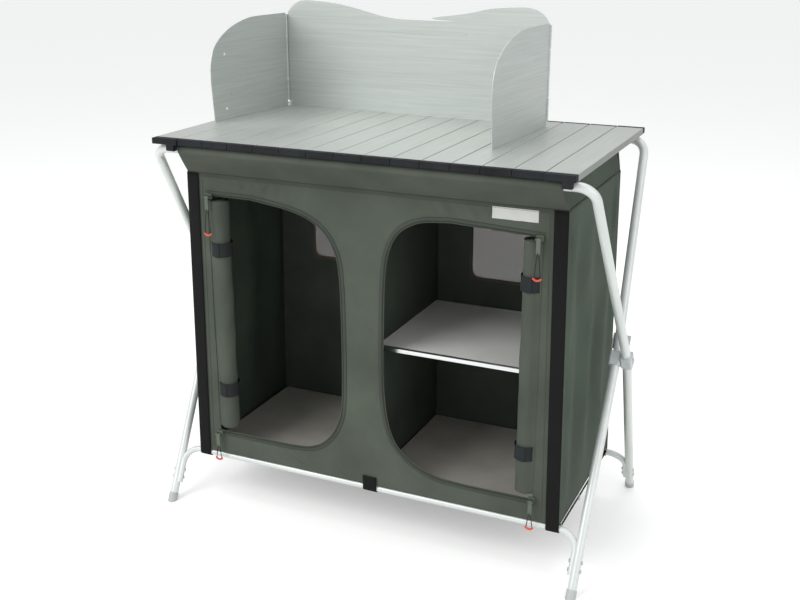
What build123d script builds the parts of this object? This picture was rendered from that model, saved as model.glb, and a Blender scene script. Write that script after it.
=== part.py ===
from build123d import *
import os
from math import acos, atan2, cos, degrees, hypot, radians, sin, sqrt

# Camping cupboard: a roll-up slat table top on two crossing tube frames,
# a fabric cupboard hung between their rails, and a folding windscreen.
# Millimetres. X runs along the front, Y goes back, Z goes up.
# The origin is on the floor, under the middle of the table.

# Table top
top_width = 840.0
top_depth = 500.0
top_height = 800.0
slat_count = 15
slat_pitch = top_width / slat_count
slat_gap = 1.0
slat_thick = 12.0
slat_wall = 1.3
slat_edge_chamfer = 1.0
cap_length = 12.0
cap_plug = 9.0
cap_fit = 0.1
end_cap_proud = 3.0
cord_radius = 2.0
cord_hole_radius = 2.2
hook_width = 16.5
hook_offset = 12.5
hook_lip = 1.5

# Frames. Both are one part: its one leg is set further out at the pivot than its other leg.
tube_radius = 8.75
tube_wall = 1.2
pivot_height = 394.0
rail_spread = 232.0
rail_height = 777.5
outer_rail_x = 446.0
outer_pivot_x = 469.5
inner_rail_x = 427.5
inner_pivot_x = 449.5
foot_x = 447.0
pivot_flat = 18.0
pivot_bend = 150.0
frame_bend = 32.0
lower_rail_radius = 6.5
lower_rail_wall = 1.0
lower_rail_height = 103.0
lower_rail_bend = 36.0
lower_rail_end = 35.0
lower_rail_inset = 8.0
rivet_radius = 2.5
rivet_heights = (44.0, 58.0)
rivet_head_radius = 3.8
rivet_head_height = 1.7
rivet_head_gap = 0.3
foot_radius = 9.9
foot_length = 7.0
foot_clear = 8.0
collar_wall = 3.2
collar_half_gap = 0.3
collar_length = 27.0
cradle_x = 448.7
cradle_play = 1.7
cradle_lip = 2.5
cradle_outer = 468.0
cradle_thick = 3.0
cradle_gap = 0.7
cradle_low = 21.0
cradle_high = 50.0
pin_radius = 3.0
pin_head_radius = 5.5
pin_head_height = 2.4
running_fit = 0.05
fixed_fit = 0.05

# Fabric cupboard
cloth = 1.2
box_top = 722.0
box_bottom = 111.0
box_half_top = 392.0
box_half_bottom = 402.0
box_half_depth = 181.0
fold_count = 6
fold_depth = 4.0
sleeve_inner = 8.95
sleeve_outer = 10.15
sleeve_left = -369.5
sleeve_right = 394.5
end_valance_x = 374.0
end_valance_top = 768.0
end_valance_half = 198.0
door_outer = 348.5
zip_inner_margin = 2.0
zip_outer_margin = 10.0
zip_thick = 0.8
window_inner = 82.0
window_outer = 308.0
window_bottom = 460.0
window_top = 650.0
window_corner = 14.0
net_overlap = 7.0
net_columns = 12
net_rows = 10
net_cord = 2.4
net_thick = 0.8
roll_x = 327.5
roll_y = -170.0
roll_radius = 19.5
roll_waist = 18.4
left_roll_top = 668.0
right_roll_top = 663.0
left_roll_bottom = 175.0
right_roll_bottom = 168.0
roll_flap = 8.0
tie_height = 29.0
tie_inner = 20.2
tie_outer = 21.8
left_tie_heights = (262.0, 568.0)
right_tie_heights = (251.0, 583.0)

# Zip sliders and their pulls
top_slider_x = 343.0
left_slider_z = 677.0
right_slider_z = 669.0
bottom_slider_x = 348.0
bottom_slider_z = 157.0
slider_length = 14.0
slider_width = 11.0
slider_back = -182.9
slider_front = -187.6
slider_ear = 1.6
pull_plane = -195.0
pull_pin_radius = 1.0
pull_width = 8.0
pull_thick = 1.6
pull_above = 3.0
pull_length = 30.0
eye_radius = 1.5
eye_margin = 3.4
loop_radius = 0.9
loop_half_top = 2.3
loop_cross = 1.0
loop_bend = 2.2
left_loop_length = 50.5
right_loop_length = 47.0
bottom_loop_length = 30.0
tip_half = 8.0
tip_drop = 5.0
tip_radius = 2.1
tip_anchor = 6.0

# Webbing
webbing_width = 26.0
webbing_thick = 1.6
webbing_clear = 0.3
corner_strap_low = 403.0
centre_loop_x = 6.0
centre_loop_width = 30.0
centre_loop_top = 130.0
side_strap_width = 6.0
side_strap_thick = 1.2
side_strap_x = 404.0
side_strap_height = 107.0

# Boards and shelf
board_thick = 4.0
board_gap = 0.3
board_inner = 3.0
board_outer = 392.0
board_half_depth = 174.0
shelf_top = 400.0
shelf_inner = 5.0
shelf_outer = 387.0
shelf_front = -146.0
shelf_back = 168.0
shelf_edge_depth = 9.0
shelf_edge_wall = 1.5

# Windscreen: a back panel and two wings, turned a little on the table
screen_x = -75.5
screen_y = 200.0
screen_turn = -3.67
screen_half = 312.0
screen_sheet = 1.2
screen_lift = 0.2
screen_side = 180.0
screen_curve = (
    (302.0, 213.0),
    (285.0, 226.0),
    (240.0, 231.5),
    (176.0, 226.0),
    (110.0, 213.0),
    (55.0, 202.0),
)
screen_valley = 199.0
hinge_offset = 3.6
back_knuckle_radius = 3.1
wing_knuckle_radius = 2.6
rod_radius = 1.2
back_knuckles = ((12.0, 57.0), (155.0, 200.0))
wing_knuckle = (60.0, 152.0)
wing_edge = 3.6
wing_bottom = 274.4
wing_curve = ((279.4, 60.0), (280.4, 105.0), (268.4, 146.0), (244.4, 168.0), (211.4, 185.0), (161.4, 199.0))
wing_flat = 106.4
wing_height = 204.0
wing_hole_radius = 2.5
wing_holes = ((232.0, 23.0), (232.0, 134.6))
rib_width = 5.0
rib_height = 0.8
back_rib_half = 130.0
back_rib_level = 175.0
wing_rib_level = 51.0
wing_rib_end = 216.0

# The doorways' inner edges, from the top of the straight outer side round to its bottom
left_door_edge = (
    (249.0, 677.0),
    (160.0, 664.0),
    (106.0, 643.0),
    (74.0, 609.0),
    (58.0, 556.0),
    (54.0, 437.0),
    (55.0, 287.0),
    (67.0, 230.0),
    (95.0, 189.0),
    (131.0, 169.0),
    (178.0, 164.0),
)
left_door_bottom = 164.0
left_door_top = 677.0
right_door_edge = (
    (172.0, 677.0),
    (113.0, 670.0),
    (73.0, 648.0),
    (52.0, 613.0),
    (42.0, 560.0),
    (38.0, 451.0),
    (39.0, 326.0),
    (52.0, 242.0),
    (84.0, 194.0),
    (138.0, 164.5),
    (190.0, 158.0),
    (250.0, 157.0),
)
right_door_bottom = 157.0
right_door_top = 669.0

os.makedirs("parts", exist_ok=True)


def save(piece, name):
    """Name a finished piece and write it."""
    piece.part.label = name
    export_step(piece.part, f"parts/{name}.step")


# Worked out from the values above
slat_width = slat_pitch - slat_gap
slat_bottom = top_height - slat_thick
slat_mid = top_height - slat_thick / 2
slat_half_length = top_depth / 2 - cap_length
lean = atan2(rail_spread, rail_height - pivot_height)
leg_top = hypot(rail_spread, rail_height - pivot_height)
lower_rail_y = (pivot_height - lower_rail_height) * sin(lean) / cos(lean)


# Slats of the table top: extruded aluminium boxes with a middle web
cell_width = (slat_width - 3 * slat_wall) / 2
cell_height = slat_thick - 2 * slat_wall
cell_middle = (cell_width + slat_wall) / 2


def make_slat(middle):
    """One slat, a hollow bar with eased top edges."""
    with BuildPart() as slat:
        with BuildSketch(Plane.XZ.offset(-slat_half_length)):
            with Locations((middle, slat_mid)):
                Rectangle(slat_width, slat_thick)
        extrude(amount=2 * slat_half_length)
        chamfer(slat.edges().filter_by(Axis.Y).group_by(Axis.Z)[-1], slat_edge_chamfer)
        with BuildSketch(Plane.XZ.offset(-slat_half_length)):
            with Locations((middle - cell_middle, slat_mid), (middle + cell_middle, slat_mid)):
                Rectangle(cell_width, cell_height)
        extrude(amount=2 * slat_half_length, mode=Mode.SUBTRACT)
    return slat


slat_middles = [(i - (slat_count - 1) / 2) * slat_pitch for i in range(slat_count)]
for number, middle in enumerate(slat_middles, start=1):
    save(make_slat(middle), f"slat_{number:02d}")

# Plastic caps plug both ends of every slat. A shock cord runs through each row of caps.
cap_outer = top_depth / 2
cord_y = cap_outer - cap_length / 2


def make_caps(middles, proud):
    """The caps of some slats at the front and the rear, standing proud of the slats' reach by an amount."""
    with BuildPart() as caps:
        for side in (-1, 1):
            with BuildSketch(Plane.XZ.offset(side * (cap_outer + proud))):
                for middle in middles:
                    with Locations((middle, slat_mid)):
                        RectangleRounded(slat_width, slat_thick - 0.4, 1.2)
            extrude(amount=-side * (cap_length + proud))
            with BuildSketch(Plane.XZ.offset(side * (cap_outer - cap_length))):
                for middle in middles:
                    with Locations((middle - cell_middle, slat_mid), (middle + cell_middle, slat_mid)):
                        Rectangle(cell_width - 2 * cap_fit, cell_height - 2 * cap_fit)
            extrude(amount=-side * cap_plug)
    return caps


def make_cords(radius, half_length):
    """Two round bars along the front and the rear row of caps."""
    with BuildPart() as cords:
        with BuildSketch(Plane.YZ.offset(-half_length)):
            with Locations((-cord_y, slat_mid), (cord_y, slat_mid)):
                Circle(radius)
        extrude(amount=2 * half_length)
    return cords


# The end slats' caps are larger and carry the hooks that seat on the rails. All four are one moulding,
# so the front pair has its hooks a little to the right and the rear pair a little to the left.
hook_radius = tube_radius + 0.3
hook_slope = 4.0
seat_rise = sqrt(hook_radius**2 - hook_slope**2)
hook_face = cap_outer + end_cap_proud
with BuildPart() as slat_end_caps:
    add(make_caps(slat_middles[1:-1], 0).part)
    add(make_caps((slat_middles[0], slat_middles[-1]), end_cap_proud).part)
    for side in (-1, 1):
        hook_bulge = (side * (rail_spread + hook_radius * cos(0.5)), rail_height + hook_radius * sin(0.5))
        for middle in (slat_middles[0], slat_middles[-1]):
            with BuildSketch(Plane.YZ.offset(middle - side * hook_offset - hook_width / 2)):
                with BuildLine():
                    Polyline(
                        (side * (rail_spread + hook_radius), rail_height),
                        (side * (rail_spread + hook_radius), rail_height - hook_lip),
                        (side * (hook_face - 2), rail_height - hook_lip),
                        (side * hook_face, rail_height - hook_lip + 2),
                        (side * hook_face, slat_bottom + 1),
                        (side * (slat_half_length + 0.3), slat_bottom + 1),
                        (side * (slat_half_length + 0.3), slat_bottom - 0.2),
                        (side * (rail_spread + hook_slope), slat_bottom - 0.2),
                        (side * (rail_spread + hook_slope), rail_height + seat_rise),
                    )
                    ThreePointArc(
                        (side * (rail_spread + hook_slope), rail_height + seat_rise),
                        hook_bulge,
                        (side * (rail_spread + hook_radius), rail_height),
                    )
                make_face()
            extrude(amount=hook_width)
    add(make_cords(cord_hole_radius, top_width).part, mode=Mode.SUBTRACT)

save(slat_end_caps, "slat_end_caps")
save(make_cords(cord_radius, top_width / 2 - 3), "shock_cords")


def along_leg(height):
    """Distance along a leg from the pivot to a height, negative below the pivot."""
    return (height - pivot_height) / cos(lean)


# Both frames are the same part. The front one is drawn here, and the rear one is its copy turned half
# round, so each frame's right leg, seen from its own side, passes outside the other frame's leg.
def leg_at(hand, distance):
    """How far out a leg of the front frame is, at a distance along it. Hand 1 is the outer leg."""
    pivot_x = outer_pivot_x if hand > 0 else inner_pivot_x
    rail_x = outer_rail_x if hand > 0 else inner_rail_x
    end_x = rail_x if distance > 0 else foot_x
    reach = leg_top if distance > 0 else -along_leg(foot_clear)
    share = max(0, abs(distance) - pivot_flat) / (reach - pivot_flat)
    return pivot_x + (end_x - pivot_x) * share


leg_up = Vector(0, -sin(lean), cos(lean))
leg_back = Vector(0, cos(lean), sin(lean))
frame_plane = Plane(origin=(0, 0, pivot_height), x_dir=(1, 0, 0), z_dir=-leg_back)


def frame_point(x, distance):
    """A place in the front frame's leaning plane, from a distance along the leg."""
    return Vector(x, 0, pivot_height) + leg_up * distance


def leg_bar(radius):
    """A round bar of a radius along the whole front frame: foot, leg, top rail, leg, foot."""
    foot_end = along_leg(foot_clear)
    with BuildPart() as bar:
        with BuildLine(frame_plane) as path:
            FilletPolyline(
                (-foot_x, foot_end),
                (-inner_pivot_x, -pivot_flat),
                (-inner_pivot_x, pivot_flat),
                (-inner_rail_x, leg_top),
                (outer_rail_x, leg_top),
                (outer_pivot_x, pivot_flat),
                (outer_pivot_x, -pivot_flat),
                (foot_x, foot_end),
                radius=(pivot_bend, pivot_bend, frame_bend, frame_bend, pivot_bend, pivot_bend),
            )
        with BuildSketch(Plane(origin=path.line @ 0, z_dir=path.line % 0)):
            Circle(radius)
        sweep(path=path.line)
    return bar.part


def cross_bar(distance, radius):
    """A round bar along X right through both legs of the front frame, at a distance along them."""
    with BuildPart() as bar:
        with BuildSketch(Plane(origin=frame_point(-600, distance), x_dir=(0, 1, 0), z_dir=(1, 0, 0))):
            Circle(radius)
        extrude(amount=1200)
    return bar.part


with BuildPart() as front_top_frame:
    add(leg_bar(tube_radius))
    add(leg_bar(tube_radius - tube_wall), mode=Mode.SUBTRACT)
    add(cross_bar(0, pin_radius + running_fit), mode=Mode.SUBTRACT)
    for height in rivet_heights:
        add(cross_bar(along_leg(height), rivet_radius + fixed_fit), mode=Mode.SUBTRACT)

# The thinner lower rail bends down at both ends and lies pressed against the inside of the legs
rail_line = along_leg(lower_rail_height)
rail_end_line = along_leg(lower_rail_end)
left_rail_x = -leg_at(-1, rail_line) + lower_rail_inset
right_rail_x = leg_at(1, rail_line) - lower_rail_inset
with BuildPart() as rear_lower_rail:
    with BuildLine(frame_plane) as rail_path:
        FilletPolyline(
            (-leg_at(-1, rail_end_line) + lower_rail_inset, rail_end_line),
            (left_rail_x, rail_line),
            (right_rail_x, rail_line),
            (leg_at(1, rail_end_line) - lower_rail_inset, rail_end_line),
            radius=lower_rail_bend,
        )
    with BuildSketch(Plane(origin=rail_path.line @ 0, z_dir=rail_path.line % 0)):
        Circle(lower_rail_radius)
    sweep(path=rail_path.line)
    straight_start = left_rail_x + lower_rail_bend + 2
    straight_end = right_rail_x - lower_rail_bend - 2
    with BuildSketch(Plane(origin=frame_point(straight_start, rail_line), z_dir=(1, 0, 0))):
        Circle(lower_rail_radius - lower_rail_wall)
    extrude(amount=straight_end - straight_start, mode=Mode.SUBTRACT)
    add(leg_bar(tube_radius + fixed_fit), mode=Mode.SUBTRACT)
    for height in rivet_heights:
        add(cross_bar(along_leg(height), rivet_radius + fixed_fit), mode=Mode.SUBTRACT)


def make_pin(place, start, end, radius, head_radius, head_height):
    """A pin along X between two distances from the middle, with a rounded head beyond each of them."""
    with BuildPart() as pin:
        with BuildSketch(Plane(origin=(start, place.Y, place.Z), z_dir=(1, 0, 0))):
            Circle(radius)
        extrude(amount=end - start)
        for face, out in ((start, -1), (end, 1)):
            with BuildSketch(Plane(origin=(face, place.Y, place.Z), z_dir=(out, 0, 0))):
                Circle(head_radius)
            extrude(amount=head_height)
        ends = pin.faces().sort_by(Axis.X)
        fillet(ends[0].edges() + ends[-1].edges(), head_height * 0.8)
    return pin.part


# Two rivets go through each leg and the end of the lower rail on it
with BuildPart() as rear_rail_rivets:
    for height in rivet_heights:
        place = frame_point(0, along_leg(height))
        for hand in (-1, 1):
            axis_x = leg_at(hand, along_leg(height))
            inner_face = hand * (axis_x - lower_rail_inset - lower_rail_radius - rivet_head_gap)
            outer_face = hand * (axis_x + tube_radius + rivet_head_gap)
            low, high = sorted((inner_face, outer_face))
            add(make_pin(place, low, high, rivet_radius, rivet_head_radius, rivet_head_height))

# End caps on the legs, cut level with the floor
foot_line = along_leg(foot_clear)
foot_top_line = foot_line + foot_length
with BuildPart() as rear_feet:
    for hand in (-1, 1):
        start = frame_point(hand * foot_x, foot_line)
        end = frame_point(hand * leg_at(hand, foot_top_line), foot_top_line)
        direction = (end - start).normalized()
        with BuildSketch(Plane(origin=start - direction * 2 * foot_radius, z_dir=direction)):
            Circle(foot_radius)
        extrude(amount=2 * foot_radius + foot_length)
        with BuildSketch(Plane(origin=start - direction * 0.1, z_dir=direction)):
            Circle(tube_radius + fixed_fit)
        extrude(amount=2 * foot_length, mode=Mode.SUBTRACT)
    split(bisect_by=Plane.XY, keep=Keep.TOP)


def turned(piece):
    """A copy of the front frame's piece turned half round, which is the rear frame's."""
    with BuildPart() as copy:
        add(piece.part.rotate(Axis.Z, 180))
    return copy


save(front_top_frame, "front_top_frame")
save(turned(front_top_frame), "rear_top_frame")
save(rear_lower_rail, "rear_lower_rail")
save(turned(rear_lower_rail), "front_lower_rail")
save(rear_rail_rivets, "rear_rail_rivets")
save(turned(rear_rail_rivets), "front_rail_rivets")
save(rear_feet, "rear_feet")
save(turned(rear_feet), "front_feet")

# Moulded collars wrap the legs where they cross. Each outer one carries a cradle for the other leg.
collar_split = (inner_pivot_x + outer_pivot_x) / 2
collar_reach = tube_radius + collar_wall
cradle_off = tube_radius + cradle_gap
cradle_inner = cradle_x - tube_radius - cradle_play - cradle_lip
other_up = Vector(0, sin(lean), cos(lean))
other_back = Vector(0, cos(lean), -sin(lean))


def make_collars(pin_fit):
    """The front frame's two collars, on its outer leg at the right and its inner leg at the left."""
    with BuildPart() as collars:
        for near, far in (
            (collar_split + collar_half_gap, outer_pivot_x + collar_reach),
            (-collar_split + collar_half_gap, -inner_pivot_x + collar_reach),
        ):
            low_end = frame_point((near + far) / 2, -collar_length / 2)
            with BuildSketch(Plane(origin=low_end, x_dir=(1, 0, 0), z_dir=leg_up)):
                RectangleRounded(far - near, 2 * collar_reach, 4.0)
            extrude(amount=collar_length)
        cradle_floor = Plane(
            origin=Vector(0, 0, pivot_height) + other_back * cradle_off,
            x_dir=(1, 0, 0),
            z_dir=-other_back,
        )
        with BuildSketch(cradle_floor):
            with BuildLine():
                Polyline(
                    (collar_split + 1, 5),
                    (cradle_outer, 5),
                    (cradle_outer, cradle_high),
                    (cradle_inner, cradle_high),
                    (cradle_inner, cradle_low),
                    (collar_split + 1, cradle_low),
                    close=True,
                )
            make_face()
        extrude(amount=-cradle_thick)
        lip_start = Vector(cradle_x, 0, pivot_height) + other_up * cradle_low
        lip_off = tube_radius + cradle_play + cradle_lip / 2
        lip_depth = cradle_off + cradle_thick
        with BuildSketch(Plane(origin=lip_start, x_dir=(1, 0, 0), z_dir=other_up)):
            with Locations((-lip_off, lip_depth / 2), (lip_off, lip_depth / 2)):
                Rectangle(cradle_lip, lip_depth)
        extrude(amount=cradle_high - cradle_low)
        for axis_x in (outer_pivot_x, -inner_pivot_x):
            with BuildSketch(Plane(origin=frame_point(axis_x, -30), z_dir=leg_up)):
                Circle(tube_radius + fixed_fit)
            extrude(amount=60, mode=Mode.SUBTRACT)
        add(cross_bar(0, pin_radius + pin_fit), mode=Mode.SUBTRACT)
    return collars


with BuildPart() as pivot_pins:
    pin_start = inner_pivot_x - collar_reach - 0.1
    pin_end = outer_pivot_x + collar_reach + 0.1
    add(make_pin(frame_point(0, 0), pin_start, pin_end, pin_radius, pin_head_radius, pin_head_height))
    mirror(about=Plane.YZ)
save(make_collars(running_fit), "front_frame_collars")
save(turned(make_collars(fixed_fit)), "rear_frame_collars")
save(pivot_pins, "pivot_pins")

# Windscreen, in its own plane: across, out to the front, and up from the table
screen = Plane(Location((screen_x, screen_y, top_height), (0, 0, screen_turn)))
screen_across = screen.x_dir
screen_front = -screen.y_dir


def screen_point(across, forward, up):
    """A place on the table top from the windscreen's own distances."""
    return screen.origin + screen_across * across + screen_front * forward + Vector(0, 0, up)


def hinge_bars(hands, levels, radius):
    """Upright round bars on the hinge axes between pairs of heights."""
    with BuildPart() as bars:
        for hand in hands:
            for low, high in levels:
                start = screen_point(hand * screen_half, hinge_offset, low)
                with BuildSketch(Plane(origin=start, z_dir=(0, 0, 1))):
                    Circle(radius)
                extrude(amount=high - low)
    return bars


back_face = Plane(origin=screen_point(0, screen_sheet / 2, 0), x_dir=screen_across, z_dir=screen_front)
curve_right = [(u, v) for u, v in screen_curve]
curve_left = [(-u, v) for u, v in reversed(screen_curve)]
with BuildPart() as screen_back:
    with BuildSketch(back_face):
        with BuildLine():
            Polyline(
                (-screen_half, screen_side),
                (-screen_half, screen_lift),
                (screen_half, screen_lift),
                (screen_half, screen_side),
            )
            Spline(
                (screen_half, screen_side),
                *curve_right,
                (0, screen_valley),
                tangents=((0, 1), (-1, 0)),
            )
            Spline(
                (0, screen_valley),
                *curve_left,
                (-screen_half, screen_side),
                tangents=((-1, 0), (0, -1)),
            )
        make_face()
    extrude(amount=-screen_sheet)
    with BuildSketch(back_face):
        with Locations((0, back_rib_level)):
            SlotOverall(2 * back_rib_half, rib_width)
    extrude(amount=rib_height)
    add(hinge_bars((-1, 1), back_knuckles, back_knuckle_radius).part)
    add(hinge_bars((-1, 1), back_knuckles, rod_radius + running_fit).part, mode=Mode.SUBTRACT)
save(screen_back, "screen_back")


def make_wing(hand):
    """One wing of the windscreen, square to the back panel at rest."""
    inward = screen_across * -hand
    origin = screen_point(hand * screen_half, hinge_offset, 0) + inward * (screen_sheet / 2)
    face = Plane(origin=origin, x_dir=screen_front, z_dir=inward)
    up = 1 if face.y_dir.Z > 0 else -1
    curve = [(along, up * level) for along, level in wing_curve]
    with BuildPart() as wing:
        with BuildSketch(face):
            with BuildLine():
                Polyline(
                    (wing_flat, up * wing_height),
                    (wing_edge, up * wing_height),
                    (wing_edge, up * screen_lift),
                    (wing_bottom, up * screen_lift),
                )
                Spline(
                    (wing_bottom, up * screen_lift),
                    *curve,
                    (wing_flat, up * wing_height),
                    tangents=((0.05, up), (-1, 0)),
                )
            make_face()
            with Locations((wing_edge / 2, up * (wing_knuckle[0] + wing_knuckle[1]) / 2)):
                Rectangle(wing_edge + 1, wing_knuckle[1] - wing_knuckle[0])
            if hand < 0:
                with Locations(*[(along, up * level) for along, level in wing_holes]):
                    Circle(wing_hole_radius, mode=Mode.SUBTRACT)
        extrude(amount=-screen_sheet)
        with BuildSketch(face):
            with Locations(((wing_rib_end + wing_edge + 8) / 2, up * wing_rib_level)):
                SlotOverall(wing_rib_end - wing_edge - 8, rib_width)
        extrude(amount=rib_height)
        add(hinge_bars((hand,), (wing_knuckle,), wing_knuckle_radius).part)
        add(hinge_bars((hand,), (wing_knuckle,), rod_radius + running_fit).part, mode=Mode.SUBTRACT)
    return wing


save(make_wing(-1), "screen_left_wing")
save(make_wing(1), "screen_right_wing")
rod_reach = ((back_knuckles[0][0] - 1, back_knuckles[-1][1] + 1),)
save(hinge_bars((-1, 1), rod_reach, rod_radius), "screen_hinge_rods")


# Fabric cupboard. Its ends lean out a little towards the floor.
def panel_outline():
    """The outline of the front or the rear panel."""
    with BuildSketch() as outline:
        with BuildLine():
            Polyline(
                (-box_half_bottom, box_bottom),
                (box_half_bottom, box_bottom),
                (box_half_top, box_top),
                (-box_half_top, box_top),
                close=True,
            )
        make_face()
    return outline.sketch


def grown_edge(edge, margin):
    """A doorway's inner edge moved outwards by a margin, square to the edge at each point."""
    grown = []
    for i, (u, v) in enumerate(edge):
        before_u, before_v = edge[max(i - 1, 0)]
        after_u, after_v = edge[min(i + 1, len(edge) - 1)]
        if i in (0, len(edge) - 1):
            before_v = after_v
        step = hypot(after_u - before_u, after_v - before_v)
        grown.append((u + margin * (after_v - before_v) / step, v - margin * (after_u - before_u) / step))
    return grown


def doorway(side, edge, bottom, top, margin):
    """A D-shaped doorway with a straight outer edge and a rounded inner one, grown by a margin."""
    curve = [(side * u, v) for u, v in grown_edge(edge, margin)]
    low_corner = (side * door_outer, bottom - margin)
    high_corner = (side * door_outer, top + margin)
    with BuildSketch() as shape:
        with BuildLine():
            Polyline(curve[-1], low_corner, high_corner, curve[0])
            Spline(*curve, tangents=((-side, 0), (side, 0)))
        make_face()
    return shape.sketch


doors = (
    (-1, left_door_edge, left_door_bottom, left_door_top),
    (1, right_door_edge, right_door_bottom, right_door_top),
)
panel_face = box_half_depth + cloth / 2
with BuildPart() as front_panel:
    with BuildSketch(Plane.XZ.offset(panel_face)):
        add(panel_outline())
        for side, edge, bottom, top in doors:
            add(doorway(side, edge, bottom, top, 0), mode=Mode.SUBTRACT)
    extrude(amount=-cloth)
save(front_panel, "front_panel")

zip_face = panel_face + 0.2
with BuildPart() as door_zips:
    with BuildSketch(Plane.XZ.offset(zip_face)):
        for side, edge, bottom, top in doors:
            add(doorway(side, edge, bottom, top, zip_outer_margin))
        for side, edge, bottom, top in doors:
            add(doorway(side, edge, bottom, top, zip_inner_margin), mode=Mode.SUBTRACT)
    extrude(amount=zip_thick)
save(door_zips, "door_zips")

window_middle = (window_inner + window_outer) / 2
window_width = window_outer - window_inner
window_height = window_top - window_bottom
window_level = (window_top + window_bottom) / 2
with BuildPart() as rear_panel:
    with BuildSketch(Plane.XZ.offset(-box_half_depth + cloth / 2)):
        add(panel_outline())
        with Locations((-window_middle, window_level), (window_middle, window_level)):
            RectangleRounded(window_width, window_height, window_corner, mode=Mode.SUBTRACT)
    extrude(amount=-cloth)
save(rear_panel, "rear_panel")

net_pitch_x = (window_width - net_cord) / net_columns
net_pitch_z = (window_height - net_cord) / net_rows
with BuildPart() as window_nets:
    with BuildSketch(Plane.XZ.offset(-box_half_depth + cloth / 2 + net_thick + 0.2)):
        with Locations((-window_middle, window_level), (window_middle, window_level)):
            Rectangle(window_width + 2 * net_overlap, window_height + 2 * net_overlap)
        for side in (-1, 1):
            with Locations((side * window_middle, window_level)):
                with GridLocations(net_pitch_x, net_pitch_z, net_columns, net_rows):
                    Rectangle(net_pitch_x - net_cord, net_pitch_z - net_cord, mode=Mode.SUBTRACT)
    extrude(amount=-net_thick)
save(window_nets, "window_nets")


# The ends hang in soft upright folds, from arcs that bow out and in by turns
fold_run = 2 * (box_half_depth - 1.0) / fold_count


def make_end(hand):
    """One end panel, its wavy top edge extruded down along the leaning side."""
    slope = Vector(hand * (box_half_bottom - box_half_top), 0, box_bottom - box_top)
    with BuildPart() as end:
        with BuildSketch(Plane.XY.offset(box_top)):
            with BuildLine():
                for face in (box_half_top - cloth, box_half_top):
                    for i in range(fold_count):
                        start = -box_half_depth + 1.0 + i * fold_run
                        bow = fold_depth if i % 2 == 0 else -fold_depth
                        ThreePointArc(
                            (hand * face, start),
                            (hand * (face + bow), start + fold_run / 2),
                            (hand * face, start + fold_run),
                        )
                for y in (-box_half_depth + 1.0, box_half_depth - 1.0):
                    Line((hand * (box_half_top - cloth), y), (hand * box_half_top, y))
            make_face()
        extrude(amount=slope.length, dir=slope.normalized())
    return end


save(make_end(-1), "left_end_panel")
save(make_end(1), "right_end_panel")

with BuildPart() as divider_panel:
    with BuildSketch(Plane.YZ.offset(-cloth / 2)):
        with Locations((0, (box_top + box_bottom + cloth) / 2 + 0.1)):
            Rectangle(2 * (box_half_depth - 1.0), box_top - box_bottom - cloth - 0.4)
    extrude(amount=cloth)
save(divider_panel, "divider_panel")

with BuildPart() as floor_sheet:
    with BuildSketch(Plane.XY.offset(box_bottom)):
        Rectangle(2 * (box_half_bottom - 7.5), 2 * (box_half_depth - 1.0))
    extrude(amount=cloth)
save(floor_sheet, "floor_sheet")


# Valances join the cupboard's top edge to the rails, with a sleeve round each rail
def make_valance():
    """The front valance: a sleeve round the top rail between the hooks, and the sheet below it."""
    middle = (sleeve_inner + sleeve_outer) / 2
    side = -1
    edge_y = box_half_depth
    edge_z = box_top + 0.8
    reach_y = edge_y - rail_spread
    reach_z = edge_z - rail_height
    reach = hypot(reach_y, reach_z)
    turn = atan2(reach_z, reach_y) + acos(middle / reach)
    touch_y = rail_spread + middle * cos(turn)
    touch_z = rail_height + middle * sin(turn)
    run_y = (edge_y - touch_y) / hypot(edge_y - touch_y, edge_z - touch_z)
    run_z = (edge_z - touch_z) / hypot(edge_y - touch_y, edge_z - touch_z)
    half = cloth / 2
    with BuildPart() as valance:
        with BuildSketch(Plane.YZ.offset(-box_half_top - 5)):
            with BuildLine():
                Polyline(
                    (side * (touch_y + half * run_z), touch_z - half * run_y),
                    (side * (edge_y + half * run_z), edge_z - half * run_y),
                    (side * (edge_y - half * run_z), edge_z + half * run_y),
                    (side * (touch_y - half * run_z), touch_z + half * run_y),
                    close=True,
                )
            make_face()
        extrude(amount=2 * (box_half_top + 5))
        for end, sleeve_end in ((-1, sleeve_left), (1, sleeve_right)):
            with BuildSketch(Plane.XZ.offset(-side * (box_half_depth - 5))):
                with BuildLine():
                    Polyline(
                        (end * (box_half_top + 10), edge_z - 5),
                        (end * (box_half_top + 10), rail_height + 20),
                        (sleeve_end, rail_height + 20),
                        (sleeve_end, rail_height - 6),
                        (end * box_half_top, edge_z),
                        (end * box_half_top, edge_z - 5),
                        close=True,
                    )
                make_face()
            extrude(amount=-side * (rail_spread - box_half_depth + 40), mode=Mode.SUBTRACT)
        with BuildSketch(Plane.YZ.offset(sleeve_left)):
            with Locations((side * rail_spread, rail_height)):
                Circle(sleeve_outer)
        extrude(amount=sleeve_right - sleeve_left)
        with BuildSketch(Plane.YZ.offset(-box_half_top - 5)):
            with Locations((side * rail_spread, rail_height)):
                Circle(sleeve_inner)
        extrude(amount=2 * (box_half_top + 5), mode=Mode.SUBTRACT)
    return valance


front_valance = make_valance()
save(front_valance, "front_valance")
save(turned(front_valance), "rear_valance")

with BuildPart() as end_valances:
    lower = Vector(box_half_top - 0.6, 0, box_top + 0.8)
    upper = Vector(end_valance_x, 0, end_valance_top)
    up = (upper - lower).normalized()
    tilted = Plane(origin=lower, x_dir=(0, 1, 0), z_dir=Vector(0, 1, 0).cross(up))
    rise = (upper - lower).length
    with BuildSketch(tilted):
        with BuildLine():
            Polyline(
                (-box_half_depth + 1, 0),
                (box_half_depth - 1, 0),
                (end_valance_half, rise),
                (-end_valance_half, rise),
                close=True,
            )
        make_face()
    extrude(amount=cloth)
    mirror(about=Plane.YZ)
save(end_valances, "end_valances")


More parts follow.
